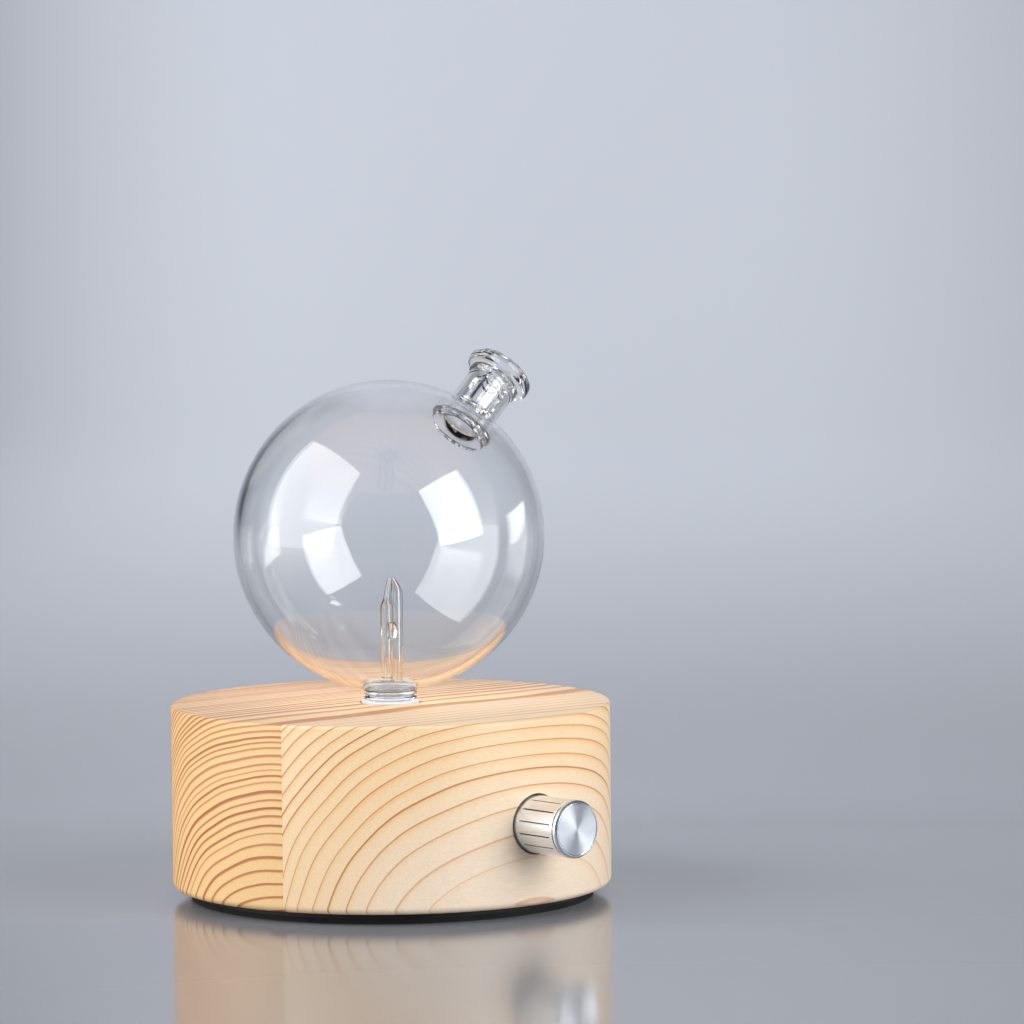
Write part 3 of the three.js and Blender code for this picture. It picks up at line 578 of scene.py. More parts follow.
blank_profile = rounded([
    (0, WOOD_Z, 0), (BASE_R, WOOD_Z, FOOT_ROUND), (BASE_R, WOOD_TOP, TOP_ROUND), (0, WOOD_TOP, 0),
])
blank = turned("blank", blank_profile, segments=360)
pocket = turned("pocket", [
    (0, WOOD_Z - REACH), (POCKET_R, WOOD_Z - REACH), (POCKET_R, WOOD_TOP - CEILING), (0, WOOD_TOP - CEILING),
], segments=180)
boolean(pocket, box_mesh("flat", (-0.1, -0.1, -0.01), (0.1, POCKET_FLAT_Y, 0.1)))
boolean(blank, pocket)
boolean(blank, turned("stem_hole", [
    (0, WOOD_TOP - CEILING - REACH), (HOLE_R, WOOD_TOP - CEILING - REACH), (HOLE_R, WOOD_TOP - 0.4 * MM),
    (HOLE_R + 0.6 * MM, WOOD_TOP + 0.2 * MM), (HOLE_R + 0.6 * MM, WOOD_TOP + REACH), (0, WOOD_TOP + REACH),
], segments=120))
KNOB_FLOOR_Y = POCKET_FLAT_Y - KNOB_HOLE_DEPTH
boolean(blank, rod_along_y("knob_hole", KNOB_HOLE_R, -BASE_R - REACH, KNOB_FLOOR_Y, KNOB_Z))
boolean(blank, rod_along_y("bushing_hole", BUSHING_HOLE_R, BUSHING_CUT_Y, POCKET_FLAT_Y + REACH, KNOB_Z))
boolean(blank, rod_along_y("jack_recess", JACK_RECESS_R, JACK_FLOOR_Y, BASE_R + REACH, JACK_Z))
boolean(blank, rod_along_y("jack_hole", JACK_HOLE_R, POCKET_R - 2 * MM, JACK_FLOOR_Y + REACH, JACK_Z))
print("blank has", len(blank.data.polygons), "faces")

# %% Split it at the glue line
JOINT = 0.015 * MM  # half the glue line
wood_back = copy_of(blank, "pine_board_back")
boolean(wood_back, box_mesh("half", (-0.1, GLUE_Y + JOINT, -0.01), (0.1, 0.1, 0.1)), "INTERSECT")
wood_front = blank
wood_front.name = "pine_board_front"
boolean(wood_front, box_mesh("half", (-0.1, -0.1, -0.01), (0.1, GLUE_Y - JOINT, 0.1)), "INTERSECT")
for board, material, cad_node in (
    (wood_back, back_pine, "wood_back"),
    (wood_front, front_pine, "wood_front"),
):
    board.data.materials.clear()
    board.data.materials.append(material)
    smooth(board, 25)
    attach(board, "base")
    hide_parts(cad_node)
    print(board.name, len(board.data.polygons), "faces")

# %% [markdown]
# ## Glass
# Clear glass is almost only shape: it shows by what it bends and mirrors. The shader
# stays plain, with a little waviness in the surface as in blown glass. A shadow ray
# passes straight through, so the wood under the bulb stays bright, as under real glass.

# %% Glass material
def make_glass(name, wave, tint=(0.985, 0.992, 1.0, 1)):
    material, tree, shader, place = new_material(
        name, Roughness=0.0, IOR=1.47, Transmission_Weight=1.0, Specular_IOR_Level=0.5)
    smear = node(tree, "ShaderNodeTexNoise", {"Vector": place, "Scale": 60.0, "Detail": 2.0}).outputs["Fac"]
    tone = blend_colour(tree, remap(tree, smear, 0.35, 0.75), (1, 1, 1, 1), tint)
    wire(tree, tone, shader.inputs["Base Color"])
    swell = node(tree, "ShaderNodeTexNoise", {"Vector": place, "Scale": 45.0, "Detail": 1.0}).outputs["Fac"]
    bump(tree, swell, shader, wave, 1.0)
    light = node(tree, "ShaderNodeLightPath").outputs["Is Shadow Ray"]
    clear = node(tree, "ShaderNodeBsdfTransparent").outputs[0]
    passing = node(tree, "ShaderNodeMixShader", {0: light, 1: shader.outputs[0], 2: clear})
    wire(tree, passing.outputs[0], tree.nodes["Material Output"].inputs["Surface"])
    return material


blown_glass = make_glass("blown_glass", 0.00004)
pressed_glass = make_glass("pressed_glass", 0.00003)
print("glass ready")

# %% [markdown]
# ## The bulb
# The bulb is a sphere with a straight stem below and a slanted neck above. Both run
# into the sphere over a smooth fillet. Joining three shapes by a boolean would leave a
# crease that glass shows at once. Instead, the sphere is covered by rings that are
# circles round the neck at one end and round the stem at the other: take a globe, and
# slide its two poles towards each other. Where a ring meets a collar, each of its points
# has its own plane through the collar's axis. In that plane the sphere's outline is a
# circle and the collar's a line, so the fillet between them is a plain arc. A third
# collar goes inwards and makes the thick ring where the neck opens into the sphere.

# %% Sphere rings between two poles
WALL = 1.8 * MM
NECK_TILT = math.radians(46)
NECK_RISE = 2.3 * MM
NECK_R = 7.0 * MM
NECK_BORE_R = 5.1 * MM
NECK_TOP = 56.4 * MM
MOUTH_R = 8.4 * MM  # thick ring where the neck opens into the sphere
MOUTH_LOW = 37.0 * MM
STEM_R = 5.8 * MM
STEM_BORE_R = 4.4 * MM
STEM_BORE_TOP = 50.5 * MM
SEAT_R = 7.2 * MM  # short solid disc that rests on the seal
SEAT_BOTTOM = 53.8 * MM
SEAT_GROOVE = 1.1 * MM  # depth of the groove round the disc's edge
AROUND = 144
neck_axis = Vector((math.sin(NECK_TILT), 0, math.cos(NECK_TILT)))
stem_axis = Vector((0, 0, -1))


def slid_globe(radius, rings, near_neck, near_stem):
    """Rows of points on a sphere, from round the neck's axis to round the stem's axis."""
    between = (neck_axis + stem_axis).normalized()
    pole = (neck_axis - stem_axis).normalized()
    side = between.cross(pole)
    pull = neck_axis.dot(between)
    rows = []
    for k in range(rings + 1):
        down = near_neck + (math.pi - near_neck - near_stem) * k / rings
        row = []
        for a in np.arange(AROUND) * TAU / AROUND:
            point = pole * math.cos(down) + (between * math.cos(a) + side * math.sin(a)) * math.sin(down)
            lean = point.dot(between)
            moved = (lean + pull) / (1 + pull * lean)
            rest = (point - between * lean).normalized()
            row.append((between * moved + rest * math.sqrt(max(0.0, 1 - moved * moved))) * radius)
        rows.append(row)
    return rows


# %% Collars that run into the sphere
def collar(edge, frame_matrix, offset, radius, sphere_r, fillet, inward=False, circle_steps=5, arc_steps=8):
    """Rows from a ring on the sphere to the start of a straight collar, with a fillet.
    frame_matrix turns the collar's axis to Z, offset is how far the axis misses the centre.
    The collar stands on the sphere, or goes inward from it. Returns the rows and the
    angle of each point round the collar's axis."""
    side = -1 if inward else 1
    rows = [[] for _ in range(circle_steps + arc_steps)]
    angles = []
    back = frame_matrix.inverted()
    for point in edge:
        local = back @ point
        angle = math.atan2(local.y, local.x + offset)
        shift = offset * math.cos(angle)
        section = math.sqrt(sphere_r ** 2 - (offset * math.sin(angle)) ** 2)
        out = radius + fillet
        high = math.sqrt((section + side * fillet) ** 2 - (out - shift) ** 2)
        start = math.atan2(math.hypot(local.x + offset, local.y) - shift, local.z)
        touch = math.atan2(out - shift, high)
        flat = []
        for k in range(1, circle_steps + 1):
            t = start + (touch - start) * k / circle_steps
            flat.append((shift + section * math.sin(t), section * math.cos(t)))
        turn_from = math.atan2(-side * high, side * (shift - out))
        if turn_from > 0 and not inward:
            turn_from -= TAU
        for k in range(1, arc_steps + 1):
            t = turn_from + (-side * math.pi - turn_from) * k / arc_steps
            flat.append((out + fillet * math.cos(t), high + fillet * math.sin(t)))
        for row, (r, h) in zip(rows, flat):
            row.append(frame_matrix @ Vector((r * math.cos(angle) - offset, r * math.sin(angle), h)))
        angles.append(angle)
    return rows, angles


def straight_rows(profile, frame_matrix, offset, angles_from, angles_to):
    """Rows round a collar's axis, whose angles go over from one list to another."""
    rows = []
    turn = [(b - a + math.pi) % TAU - math.pi for a, b in zip(angles_from, angles_to)]
    for k, (r, h) in enumerate(profile):
        share = k / (len(profile) - 1)
        row = []
        for a, more in zip(angles_from, turn):
            t = a + more * share
            row.append(frame_matrix @ Vector((r * math.cos(t) - offset, r * math.sin(t), h)))
        rows.append(row)
    return rows


# %% Build the bulb
neck_frame = Matrix.Rotation(NECK_TILT, 3, "Y")
stem_frame = Matrix.Rotation(math.pi, 3, "X")
inner_r = BULB_R - WALL

outer = slid_globe(BULB_R, 72, 0.42, 0.26)
neck_out, neck_turns = collar(outer[0], neck_frame, NECK_RISE, NECK_R, BULB_R, 3.6 * MM)
stem_out, stem_turns = collar(outer[-1], stem_frame, 0.0, SEAT_R, BULB_R, 0.9 * MM)
inner = slid_globe(inner_r, 72, 0.42, 0.012)
neck_in, bore_turns = collar(inner[0], neck_frame, NECK_RISE, MOUTH_R, inner_r, 0.9 * MM, inward=True)
mouth_profile = rounded([
    (MOUTH_R, MOUTH_LOW + 0.9 * MM, 0), (MOUTH_R, MOUTH_LOW, 0.6 * MM),
    (NECK_BORE_R, MOUTH_LOW + 1.6 * MM, 1.6 * MM), (NECK_BORE_R, MOUTH_LOW + 6 * MM, 0),
])
mouth = straight_rows(mouth_profile, neck_frame, NECK_RISE, bore_turns, bore_turns)

lip_profile = rounded([
    (NECK_R, NECK_TOP - 9 * MM, 0), (NECK_R, NECK_TOP - 2.2 * MM, 0.8 * MM),
    (NECK_R + 0.7 * MM, NECK_TOP - 1.4 * MM, 0.5 * MM), (NECK_R + 0.6 * MM, NECK_TOP, 0.6 * MM),
    (NECK_BORE_R, NECK_TOP, 0.7 * MM), (NECK_BORE_R, NECK_TOP - 9 * MM, 0),
])
lip = straight_rows(lip_profile, neck_frame, NECK_RISE, neck_turns, bore_turns)
stem_foot = BULB_Z - STEM_BOTTOM
bore_end = BULB_Z - STEM_BORE_TOP
seat_end = BULB_Z - SEAT_BOTTOM
stem_profile = rounded([
    (SEAT_R, seat_end - 1.8 * MM, 0), (SEAT_R, seat_end - 1.5 * MM, 0.2 * MM),
    (SEAT_R - SEAT_GROOVE, seat_end - 1.1 * MM, 0.25 * MM), (SEAT_R, seat_end - 0.7 * MM, 0.2 * MM),
    (SEAT_R, seat_end, 0.3 * MM), (STEM_R, seat_end, 0.3 * MM),
    (STEM_R, stem_foot, 0.6 * MM),
    (STEM_BORE_R, stem_foot, 0.4 * MM), (STEM_BORE_R, bore_end, 2.5 * MM), (0.05 * MM, bore_end, 0),
])
stem_rows = straight_rows(stem_profile, stem_frame, 0.0, stem_turns, stem_turns)
bulb_rows = inner[::-1] + neck_in + mouth + lip[::-1] + neck_out[::-1] + outer + stem_out + stem_rows
bulb_rows = [[Vector((0, 0, -inner_r))]] + bulb_rows + [[Vector((0, 0, -bore_end))]]
lift = Vector((0, 0, BULB_Z))
glass_bulb = mesh_object(
    "bulb_glass", [lift + v for row in bulb_rows for v in row], stitch_rows(bulb_rows, False), blown_glass)
glass_bulb.data.shade_smooth()
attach(glass_bulb, "bulb")
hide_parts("glass_bulb")
print("bulb:", len(bulb_rows), "rows,", len(glass_bulb.data.polygons), "faces")

# %% [markdown]
# ## Nozzle tubes
# Two thin tubes stand side by side in the bulb. Air leaves the right one through a fine
# tip and blows across the tip of the left one, which draws oil up and breaks it to mist.
# Both are drawn out in a flame, so each narrows to a waist and leans over towards the
# other. A drop of melted glass joins them halfway up.

# %% Draw the tubes
TUBE_R = 1.7 * MM
TUBE_BORE_R = 0.6 * MM
TUBE_X = 1.78 * MM  # from the middle of the pair
NOZZLE_X = 0.7 * MM  # middle of the pair
TUBE_EDGE = 0.15 * MM
NARROW_BORE = 0.45  # bore over outside radius, from the waist up
WELD_R = 1.15 * MM
WELD_Z = 72.5 * MM
WELD_HALF = 2.5 * MM


def drawn_tube(name, x, low, shoulder, waist, waist_r, tip, tip_r, lean, material):
    """A tube that narrows from its shoulder to its waist, and slowly from there to its tip."""
    steps = 12
    outside = [(TUBE_R, low + TUBE_EDGE)]
    inside = [(TUBE_BORE_R, low)]
    for k in range(steps + 1):
        t = k / steps
        z = shoulder + (waist - shoulder) * t
        outside.append((TUBE_R + (waist_r - TUBE_R) * t, z))
        inside.append((TUBE_BORE_R + (waist_r * NARROW_BORE - TUBE_BORE_R) * t, z))
    for k in range(1, steps + 1):
        t = k / steps
        z = waist + (tip - waist) * t
        outside.append((waist_r + (tip_r - waist_r) * t, z))
        inside.append((NARROW_BORE * (waist_r + (tip_r - waist_r) * t), z))
    profile = [(TUBE_R - TUBE_EDGE, low)] + outside + inside[::-1]
    piece = turned(name, profile, material, segments=64, sharp=30)
    for vertex in piece.data.vertices:
        t = max(0.0, vertex.co.z - shoulder) / (tip - shoulder)
        vertex.co.x += x + lean * t * t
    return piece


air_jet = drawn_tube(
    "air_jet", NOZZLE_X + TUBE_X, low=57.7 * MM, shoulder=82.8 * MM, waist=86.2 * MM, waist_r=0.75 * MM,
    tip=87.0 * MM, tip_r=0.6 * MM, lean=-1.6 * MM, material=pressed_glass)
oil_pipe = drawn_tube(
    "oil_pipe", NOZZLE_X - TUBE_X, low=59.2 * MM, shoulder=79.2 * MM, waist=81.2 * MM, waist_r=0.95 * MM,
    tip=87.0 * MM, tip_r=0.5 * MM, lean=1.1 * MM, material=pressed_glass)
weld_profile = [(0, WELD_Z - WELD_HALF)]
for k in range(1, 16):
    t = math.pi * k / 16
    weld_profile.append((WELD_R * math.sin(t) ** 0.6, WELD_Z - WELD_HALF * math.cos(t)))
weld_profile.append((0, WELD_Z + WELD_HALF))
weld_place = Matrix.Translation((NOZZLE_X, 0, 0))
weld = turned("nozzle_weld", weld_profile, pressed_glass, segments=48, place=weld_place)
for vertex in weld.data.vertices:
    vertex.co.y *= 1.5
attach(weld, "bulb")
for piece, cad_node in ((air_jet, "air_jet_tube"), (oil_pipe, "oil_tube")):
    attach(piece, "bulb")
    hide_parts(cad_node)
print("two drawn tubes and their weld")

# %% [markdown]
# ## Stopper
# The glass stopper closes the neck and leaves a narrow hole for the mist. It is ground
# to a plug below and pressed to a thick round rim above.

# %% Turn the stopper
STOPPER_R = 4.75 * MM
FLANGE_R = 9.6 * MM
STOPPER_TOP = 60.4 * MM
STOPPER_BOTTOM = 44.5 * MM
FLANGE_Z = NECK_TOP + 0.4 * MM
STOPPER_BORE_R = 2.3 * MM
tilt = Matrix.Rotation(NECK_TILT, 4, "Y")
to_neck = Matrix.Translation(lift) @ tilt @ Matrix.Translation((-NECK_RISE, 0, 0))
stopper_profile = rounded([
    (STOPPER_BORE_R, STOPPER_BOTTOM, 0.5 * MM), (STOPPER_R, STOPPER_BOTTOM, 1.0 * MM),
    (STOPPER_R, FLANGE_Z, 0.5 * MM), (FLANGE_R, FLANGE_Z, 1.3 * MM), (FLANGE_R, STOPPER_TOP, 1.5 * MM),
    (STOPPER_BORE_R + 2.6 * MM, STOPPER_TOP, 0.5 * MM), (STOPPER_BORE_R, STOPPER_TOP - 3.2 * MM, 1.2 * MM),
])
stopper = turned("stopper", stopper_profile, pressed_glass, segments=128, place=to_neck, sharp=75)
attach(stopper, "stopper")
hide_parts("glass_stopper")
print("stopper turned from", len(stopper_profile), "points")

# %% [markdown]
# ## Surface variation
# No real surface is one even colour. One group gives every plain finish here its
# mottling, its fine grain and its relief, and each material sets the scale to suit.

# %% Variation group
def make_variation_group():
    tree, given, leave = new_group(
        "surface_variation",
        {"Place": (0.0, 0.0, 0.0), "Patch Scale": 60.0, "Grain Scale": 900.0, "Stretch": (1.0, 1.0, 1.0)},
        {"Patches": "Float", "Grain": "Float", "Specks": "Float"},
    )
    spot = node(tree, "ShaderNodeVectorMath", {
        0: given["Place"], 1: given["Stretch"],
    }, operation="MULTIPLY").outputs[0]
    patches = node(tree, "ShaderNodeTexNoise", {
        "Vector": spot, "Scale": given["Patch Scale"], "Detail": 3.0,
    })
    grain = node(tree, "ShaderNodeTexNoise", {"Vector": spot, "Scale": given["Grain Scale"], "Detail": 2.0})
    cells = node(tree, "ShaderNodeTexVoronoi", {"Vector": spot, "Scale": given["Grain Scale"]})
    specks = remap(tree, cells.outputs["Distance"], 0.05, 0.5, 1.0, 0.0)
    wire(tree, remap(tree, patches.outputs["Fac"], 0.3, 0.7), leave.inputs["Patches"])
    wire(tree, grain.outputs["Fac"], leave.inputs["Grain"])
    wire(tree, specks, leave.inputs["Specks"])
    return tree


variation_group = make_variation_group()


def varied(name, first, second, rough, relief, patch_scale=60.0, grain_scale=900.0,
           stretch=(1.0, 1.0, 1.0), specks=0.0, **sockets):
    """A finish that goes between two colours and two roughnesses, with a fine relief."""
    material, tree, shader, place = new_material(name, **sockets)
    look = place_group(tree, variation_group, {
        "Place": place, "Patch Scale": patch_scale, "Grain Scale": grain_scale, "Stretch": stretch,
    })
    wire(tree, blend_colour(tree, look["Patches"], first, second), shader.inputs["Base Color"])
    gloss = remap(tree, look["Grain"], 0.3, 0.7, rough[0], rough[1], "LINEAR")
    wire(tree, gloss, shader.inputs["Roughness"])
    height = maths(tree, "MULTIPLY_ADD", look["Specks"], specks, look["Grain"])
    bump(tree, height, shader, relief * MM, 0.6)
    return material


black_rubber = varied("black_rubber", (0.010, 0.010, 0.011, 1), (0.018, 0.018, 0.019, 1), (0.75, 0.9), 0.05,
                      grain_scale=1400.0, specks=0.8, Specular_IOR_Level=0.2)
black_plastic = varied("black_plastic", (0.010, 0.010, 0.012, 1), (0.018, 0.018, 0.020, 1), (0.45, 0.6),
                       0.02, grain_scale=1800.0, Specular_IOR_Level=0.25)
white_nylon = varied("white_nylon", (0.72, 0.70, 0.64, 1), (0.80, 0.78, 0.73, 1), (0.38, 0.5), 0.01,
                     Subsurface_Weight=0.15, Subsurface_Scale=0.001)
grey_silicone = varied("grey_silicone", (0.46, 0.50, 0.54, 1), (0.54, 0.58, 0.62, 1), (0.32, 0.5), 0.01,
                       patch_scale=90.0, Subsurface_Weight=0.3, Subsurface_Scale=0.0015)
print("variation group and four plain finishes")

# %% [markdown]
# ## Stem seat
# A silicone sleeve holds the glass stem in a plastic cup. Its lip stands just proud of
# the wood and is the grey ring round the stem.

# %% Seal and cup
SEAL_OUT = HOLE_R - 0.3 * MM
SEAL_IN = STEM_R + 0.15 * MM
CUP_BORE_R = 7.3 * MM
seal_low, seal_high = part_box("stem_seal")
seal_profile = rounded([
    (SEAL_IN, seal_low.z, 0.2 * MM), (CUP_BORE_R - 0.3 * MM, seal_low.z, 0.3 * MM),
    (CUP_BORE_R - 0.3 * MM, WOOD_TOP - 0.6 * MM, 0), (SEAL_OUT, WOOD_TOP - 0.6 * MM, 0.15 * MM),
    (SEAL_OUT, seal_high.z, 0.35 * MM), (SEAL_IN, seal_high.z, 0.4 * MM),
])
seal = turned("stem_seal_sleeve", seal_profile, grey_silicone, segments=96)
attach(seal, "seal")
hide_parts("stem_seal")
print("seal stands", round((seal_high.z - WOOD_TOP) / MM, 2), "mm proud of the wood")

# %% [markdown]
# ## Anti-slip pad
# The pad is a disc of rubber with a ring of air holes under the pump. Holes in a pattern
# suit Geometry Nodes: circles on points are filled as one face with gaps, and extruded.

# %% Perforated disc tree
def make_disc_tree():
    tree, given, leave = new_group(
        "perforated_disc",
        {
            "Radius": 0.055, "Thickness": 0.0015, "Bottom": 0.0, "Hole Radius": 0.0015,
            "Hole Circle": 0.008, "Hole Count": 6, "Centre": (0.0, 0.0, 0.0), "Finish": "material",
        },
        {"Geometry": "Geometry"}, "GeometryNodeTree",
    )
    rim = node(tree, "GeometryNodeCurvePrimitiveCircle", {"Resolution": 192, "Radius": given["Radius"]})
    ring = node(tree, "GeometryNodeMeshCircle", {
        "Vertices": given["Hole Count"], "Radius": given["Hole Circle"],
    })
    moved = node(tree, "GeometryNodeTransform", {
        "Geometry": ring.outputs[0], "Translation": given["Centre"],
    })
    hole = node(tree, "GeometryNodeCurvePrimitiveCircle", {"Resolution": 32, "Radius": given["Hole Radius"]})
    holes = node(tree, "GeometryNodeInstanceOnPoints", {
        "Points": moved.outputs[0], "Instance": hole.outputs[0],
    })
    loose = node(tree, "GeometryNodeRealizeInstances", {0: holes.outputs[0]})
    both = tree.nodes.new("GeometryNodeJoinGeometry")
    tree.links.new(loose.outputs[0], both.inputs[0])
    tree.links.new(rim.outputs[0], both.inputs[0])
    face = node(tree, "GeometryNodeFillCurve", {0: both.outputs[0]})
    down = node(tree, "ShaderNodeCombineXYZ", {2: given["Bottom"]}).outputs[0]
    low = node(tree, "GeometryNodeTransform", {"Geometry": face.outputs[0], "Translation": down})
    rise = node(tree, "ShaderNodeCombineXYZ", {2: given["Thickness"]}).outputs[0]
    raised = node(tree, "GeometryNodeExtrudeMesh", {
        "Mesh": low.outputs[0], "Offset": rise, "Offset Scale": 1.0, "Individual": False,
    })
    flipped = node(tree, "GeometryNodeFlipFaces", {"Mesh": low.outputs[0]})
    shell = tree.nodes.new("GeometryNodeJoinGeometry")
    tree.links.new(raised.outputs[0], shell.inputs[0])
    tree.links.new(flipped.outputs[0], shell.inputs[0])
    whole = node(tree, "GeometryNodeMergeByDistance", {"Geometry": shell.outputs[0], "Distance": 0.00001})
    real = node(tree, "GeometryNodeRealizeInstances", {0: whole.outputs[0]})
    done = node(tree, "GeometryNodeSetMaterial", {"Geometry": real.outputs[0], "Material": given["Finish"]})
    tree.links.new(done.outputs[0], leave.inputs[0])
    return tree


def from_tree(name, tree, values, mesh=None):
    """Runs a Geometry Nodes tree with these named inputs, and keeps its result as a plain mesh."""
    piece = bpy.data.objects.new(name, mesh or bpy.data.meshes.new(name))
    bpy.context.scene.collection.objects.link(piece)
    modifier = piece.modifiers.new(tree.name, "NODES")
    modifier.node_group = tree
    for item in tree.interface.items_tree:
        if item.in_out == "INPUT" and item.name in values:
            modifier[item.identifier] = values[item.name]
    graph = bpy.context.evaluated_depsgraph_get()
    made = bpy.data.meshes.new_from_object(piece.evaluated_get(graph), depsgraph=graph)
    piece.modifiers.clear()
    piece.data = made
    work = bmesh.new()
    work.from_mesh(made)
    bmesh.ops.remove_doubles(work, verts=work.verts, dist=1e-7)
    bmesh.ops.recalc_face_normals(work, faces=work.faces)
    work.to_mesh(made)
    work.free()
    return piece


VENT_CENTRE = (30 * MM, -4 * MM, 0.0)
FOOT_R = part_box("foot_pad")[1].y
PAD_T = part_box("foot_pad")[1].z
SEAM = 0.02 * MM  # between the discs, and below the wood
disc_tree = make_disc_tree()
for name, cad_node, finish, bottom, thick, slot in (
    ("grip_pad", "foot_pad", black_rubber, 0.0, PAD_T - SEAM, "pad_rubber"),
    ("bottom_plate", "base_plate", black_plastic, PAD_T, WOOD_Z - PAD_T - SEAM, "black_abs"),
):
    disc = from_tree(name, disc_tree, {
        "Radius": FOOT_R, "Thickness": thick, "Bottom": bottom, "Centre": VENT_CENTRE, "Finish": finish,
    })
    smooth(disc, 30)
    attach(disc, "base")
    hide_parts(cad_node)
    print(disc.name, len(disc.data.polygons), "faces")

# %% [markdown]
# ## Knob
# The knob is a turned aluminium cap. Its side has shallow flutes that stop short of both
# ends, and its face has fine rings from the lathe tool. The flutes follow a rule, so
# Geometry Nodes cut them: each point of a fine blank moves in by an amount that depends
# on its angle round the axis and on its place along it.

# %% Aluminium finishes
FLUTE_PAINTED_SHADE = (0.27, 0.29, 0.31, 1)  # painted shade at the bottom of a flute
SIDE_TONES = ((0.83, 0.90, 0.99, 1), (0.88, 0.94, 1.0, 1))
FACE_TONES = ((0.80, 0.85, 0.93, 1), (0.86, 0.90, 0.97, 1))
RIM_BAND = 0.9 * MM  # behind the face, where the bevel stays bright


def make_aluminium(name, tones, rings_per_mm, relief, rough, stretch, metal):
    """Lathe rings run round the axis, so the gloss is spread across them. Grooves in the side get painted
    shade at the bottom."""
    material, tree, shader, place = new_material(
        name, Metallic=metal, Anisotropic=stretch, Anisotropic_Rotation=0.25)
    spin = node(tree, "ShaderNodeTangent", direction_type="RADIAL", axis="Y").outputs[0]
    wire(tree, spin, shader.inputs["Tangent"])
    look = place_group(tree, variation_group, {
        "Place": place, "Patch Scale": 120.0, "Grain Scale": 2500.0, "Stretch": (1.0, 1.0, 1.0)})
    tone = blend_colour(tree, look["Patches"], tones[0], tones[1])
    centred = node(tree, "ShaderNodeMapping", {"Vector": place, "Location": (0, 0, -KNOB_Z)}).outputs[0]
    parts = node(tree, "ShaderNodeSeparateXYZ", {0: centred}).outputs
    flat = node(tree, "ShaderNodeCombineXYZ", {0: parts["X"], 1: parts["Z"]}).outputs[0]
    out = node(tree, "ShaderNodeVectorMath", {0: flat}, operation="LENGTH").outputs["Value"]
    # painted shade: metal sunk into a flute is darkened, except in the band behind the face
    sunk = remap(tree, out, KNOB_R - 0.25 * MM, KNOB_R - 0.03 * MM, 1.0, 0.0)
    behind = remap(tree, parts["Y"], KNOB_FACE + RIM_BAND, KNOB_FACE + RIM_BAND + 0.2 * MM)
    groove = maths(tree, "MULTIPLY", sunk, behind)
    wire(tree, blend_colour(tree, groove, tone, FLUTE_PAINTED_SHADE), shader.inputs["Base Color"])
    turning = node(tree, "ShaderNodeTexNoise", {
        "W": out, "Scale": rings_per_mm / MM, "Detail": 2.0}, noise_dimensions="1D").outputs["Fac"]
    wire(tree, remap(tree, turning, 0.3, 0.7, rough[0], rough[1], "LINEAR"), shader.inputs["Roughness"])
    bump(tree, turning, shader, relief * MM, 1.0)
    return material


side_aluminium = make_aluminium(
    "anodised_aluminium", SIDE_TONES, 1.0, 0.0004, (0.17, 0.23), 0.72, 0.94)
face_aluminium = make_aluminium(
    "turned_aluminium", FACE_TONES, 2.5, 0.0002, (0.29, 0.32), 0.8, 0.85)
print("aluminium for the side and the face")


# %% Flute tree
def make_flute_tree():
    tree, given, leave = new_group(
        "fluted_knob",
        {
            "Geometry": "geometry", "Axis Height": 0.025, "Flutes": 18.0, "Depth": 0.0002,
            "Flute Share": 0.3, "Near End": -0.072, "Far End": -0.061, "Fade": 0.0006,
            "Side Radius": 0.0077,
        },
        {"Geometry": "Geometry"}, "GeometryNodeTree",
    )
    spot = node(tree, "GeometryNodeInputPosition").outputs[0]
    parts = node(tree, "ShaderNodeSeparateXYZ", {0: spot}).outputs
    up = maths(tree, "SUBTRACT", parts["Z"], given["Axis Height"])
    angle = maths(tree, "ARCTAN2", up, parts["X"])
    turns = maths(tree, "MULTIPLY", maths(tree, "DIVIDE", angle, TAU), given["Flutes"])
    away = maths(tree, "ABSOLUTE", maths(tree, "SUBTRACT", maths(tree, "FRACT", turns), 0.5))
    half = maths(tree, "MULTIPLY", given["Flute Share"], 0.5)
    groove = remap(tree, away, half, maths(tree, "MULTIPLY", half, 0.4), 0.0, 1.0)
    near = remap(tree, parts["Y"], given["Near End"], maths(tree, "ADD", given["Near End"], given["Fade"]))
    far = remap(tree, parts["Y"], given["Far End"], maths(tree, "SUBTRACT", given["Far End"], given["Fade"]))
    flat = node(tree, "ShaderNodeCombineXYZ", {0: parts["X"], 2: up}).outputs[0]
    out = node(tree, "ShaderNodeVectorMath", {0: flat}, operation="LENGTH").outputs["Value"]
    on_side = remap(tree, out, maths(tree, "MULTIPLY", given["Side Radius"], 0.97), given["Side Radius"])
    along = maths(tree, "MULTIPLY", near, far)
    amount = maths(tree, "MULTIPLY", maths(tree, "MULTIPLY", groove, along), on_side)
    push = maths(tree, "MULTIPLY", maths(tree, "MULTIPLY", amount, given["Depth"]), -1.0)
    outwards = node(tree, "ShaderNodeVectorMath", {0: flat}, operation="NORMALIZE").outputs[0]
    move = node(tree, "ShaderNodeVectorMath", {0: outwards, "Scale": push}, operation="SCALE").outputs[0]
    moved = node(tree, "GeometryNodeSetPosition", {"Geometry": given["Geometry"], "Offset": move})
    real = node(tree, "GeometryNodeRealizeInstances", {0: moved.outputs[0]})
    done = node(tree, "GeometryNodeSetMaterial", {"Geometry": real.outputs[0], "Material": side_aluminium})
    tree.links.new(done.outputs[0], leave.inputs[0])
    return tree


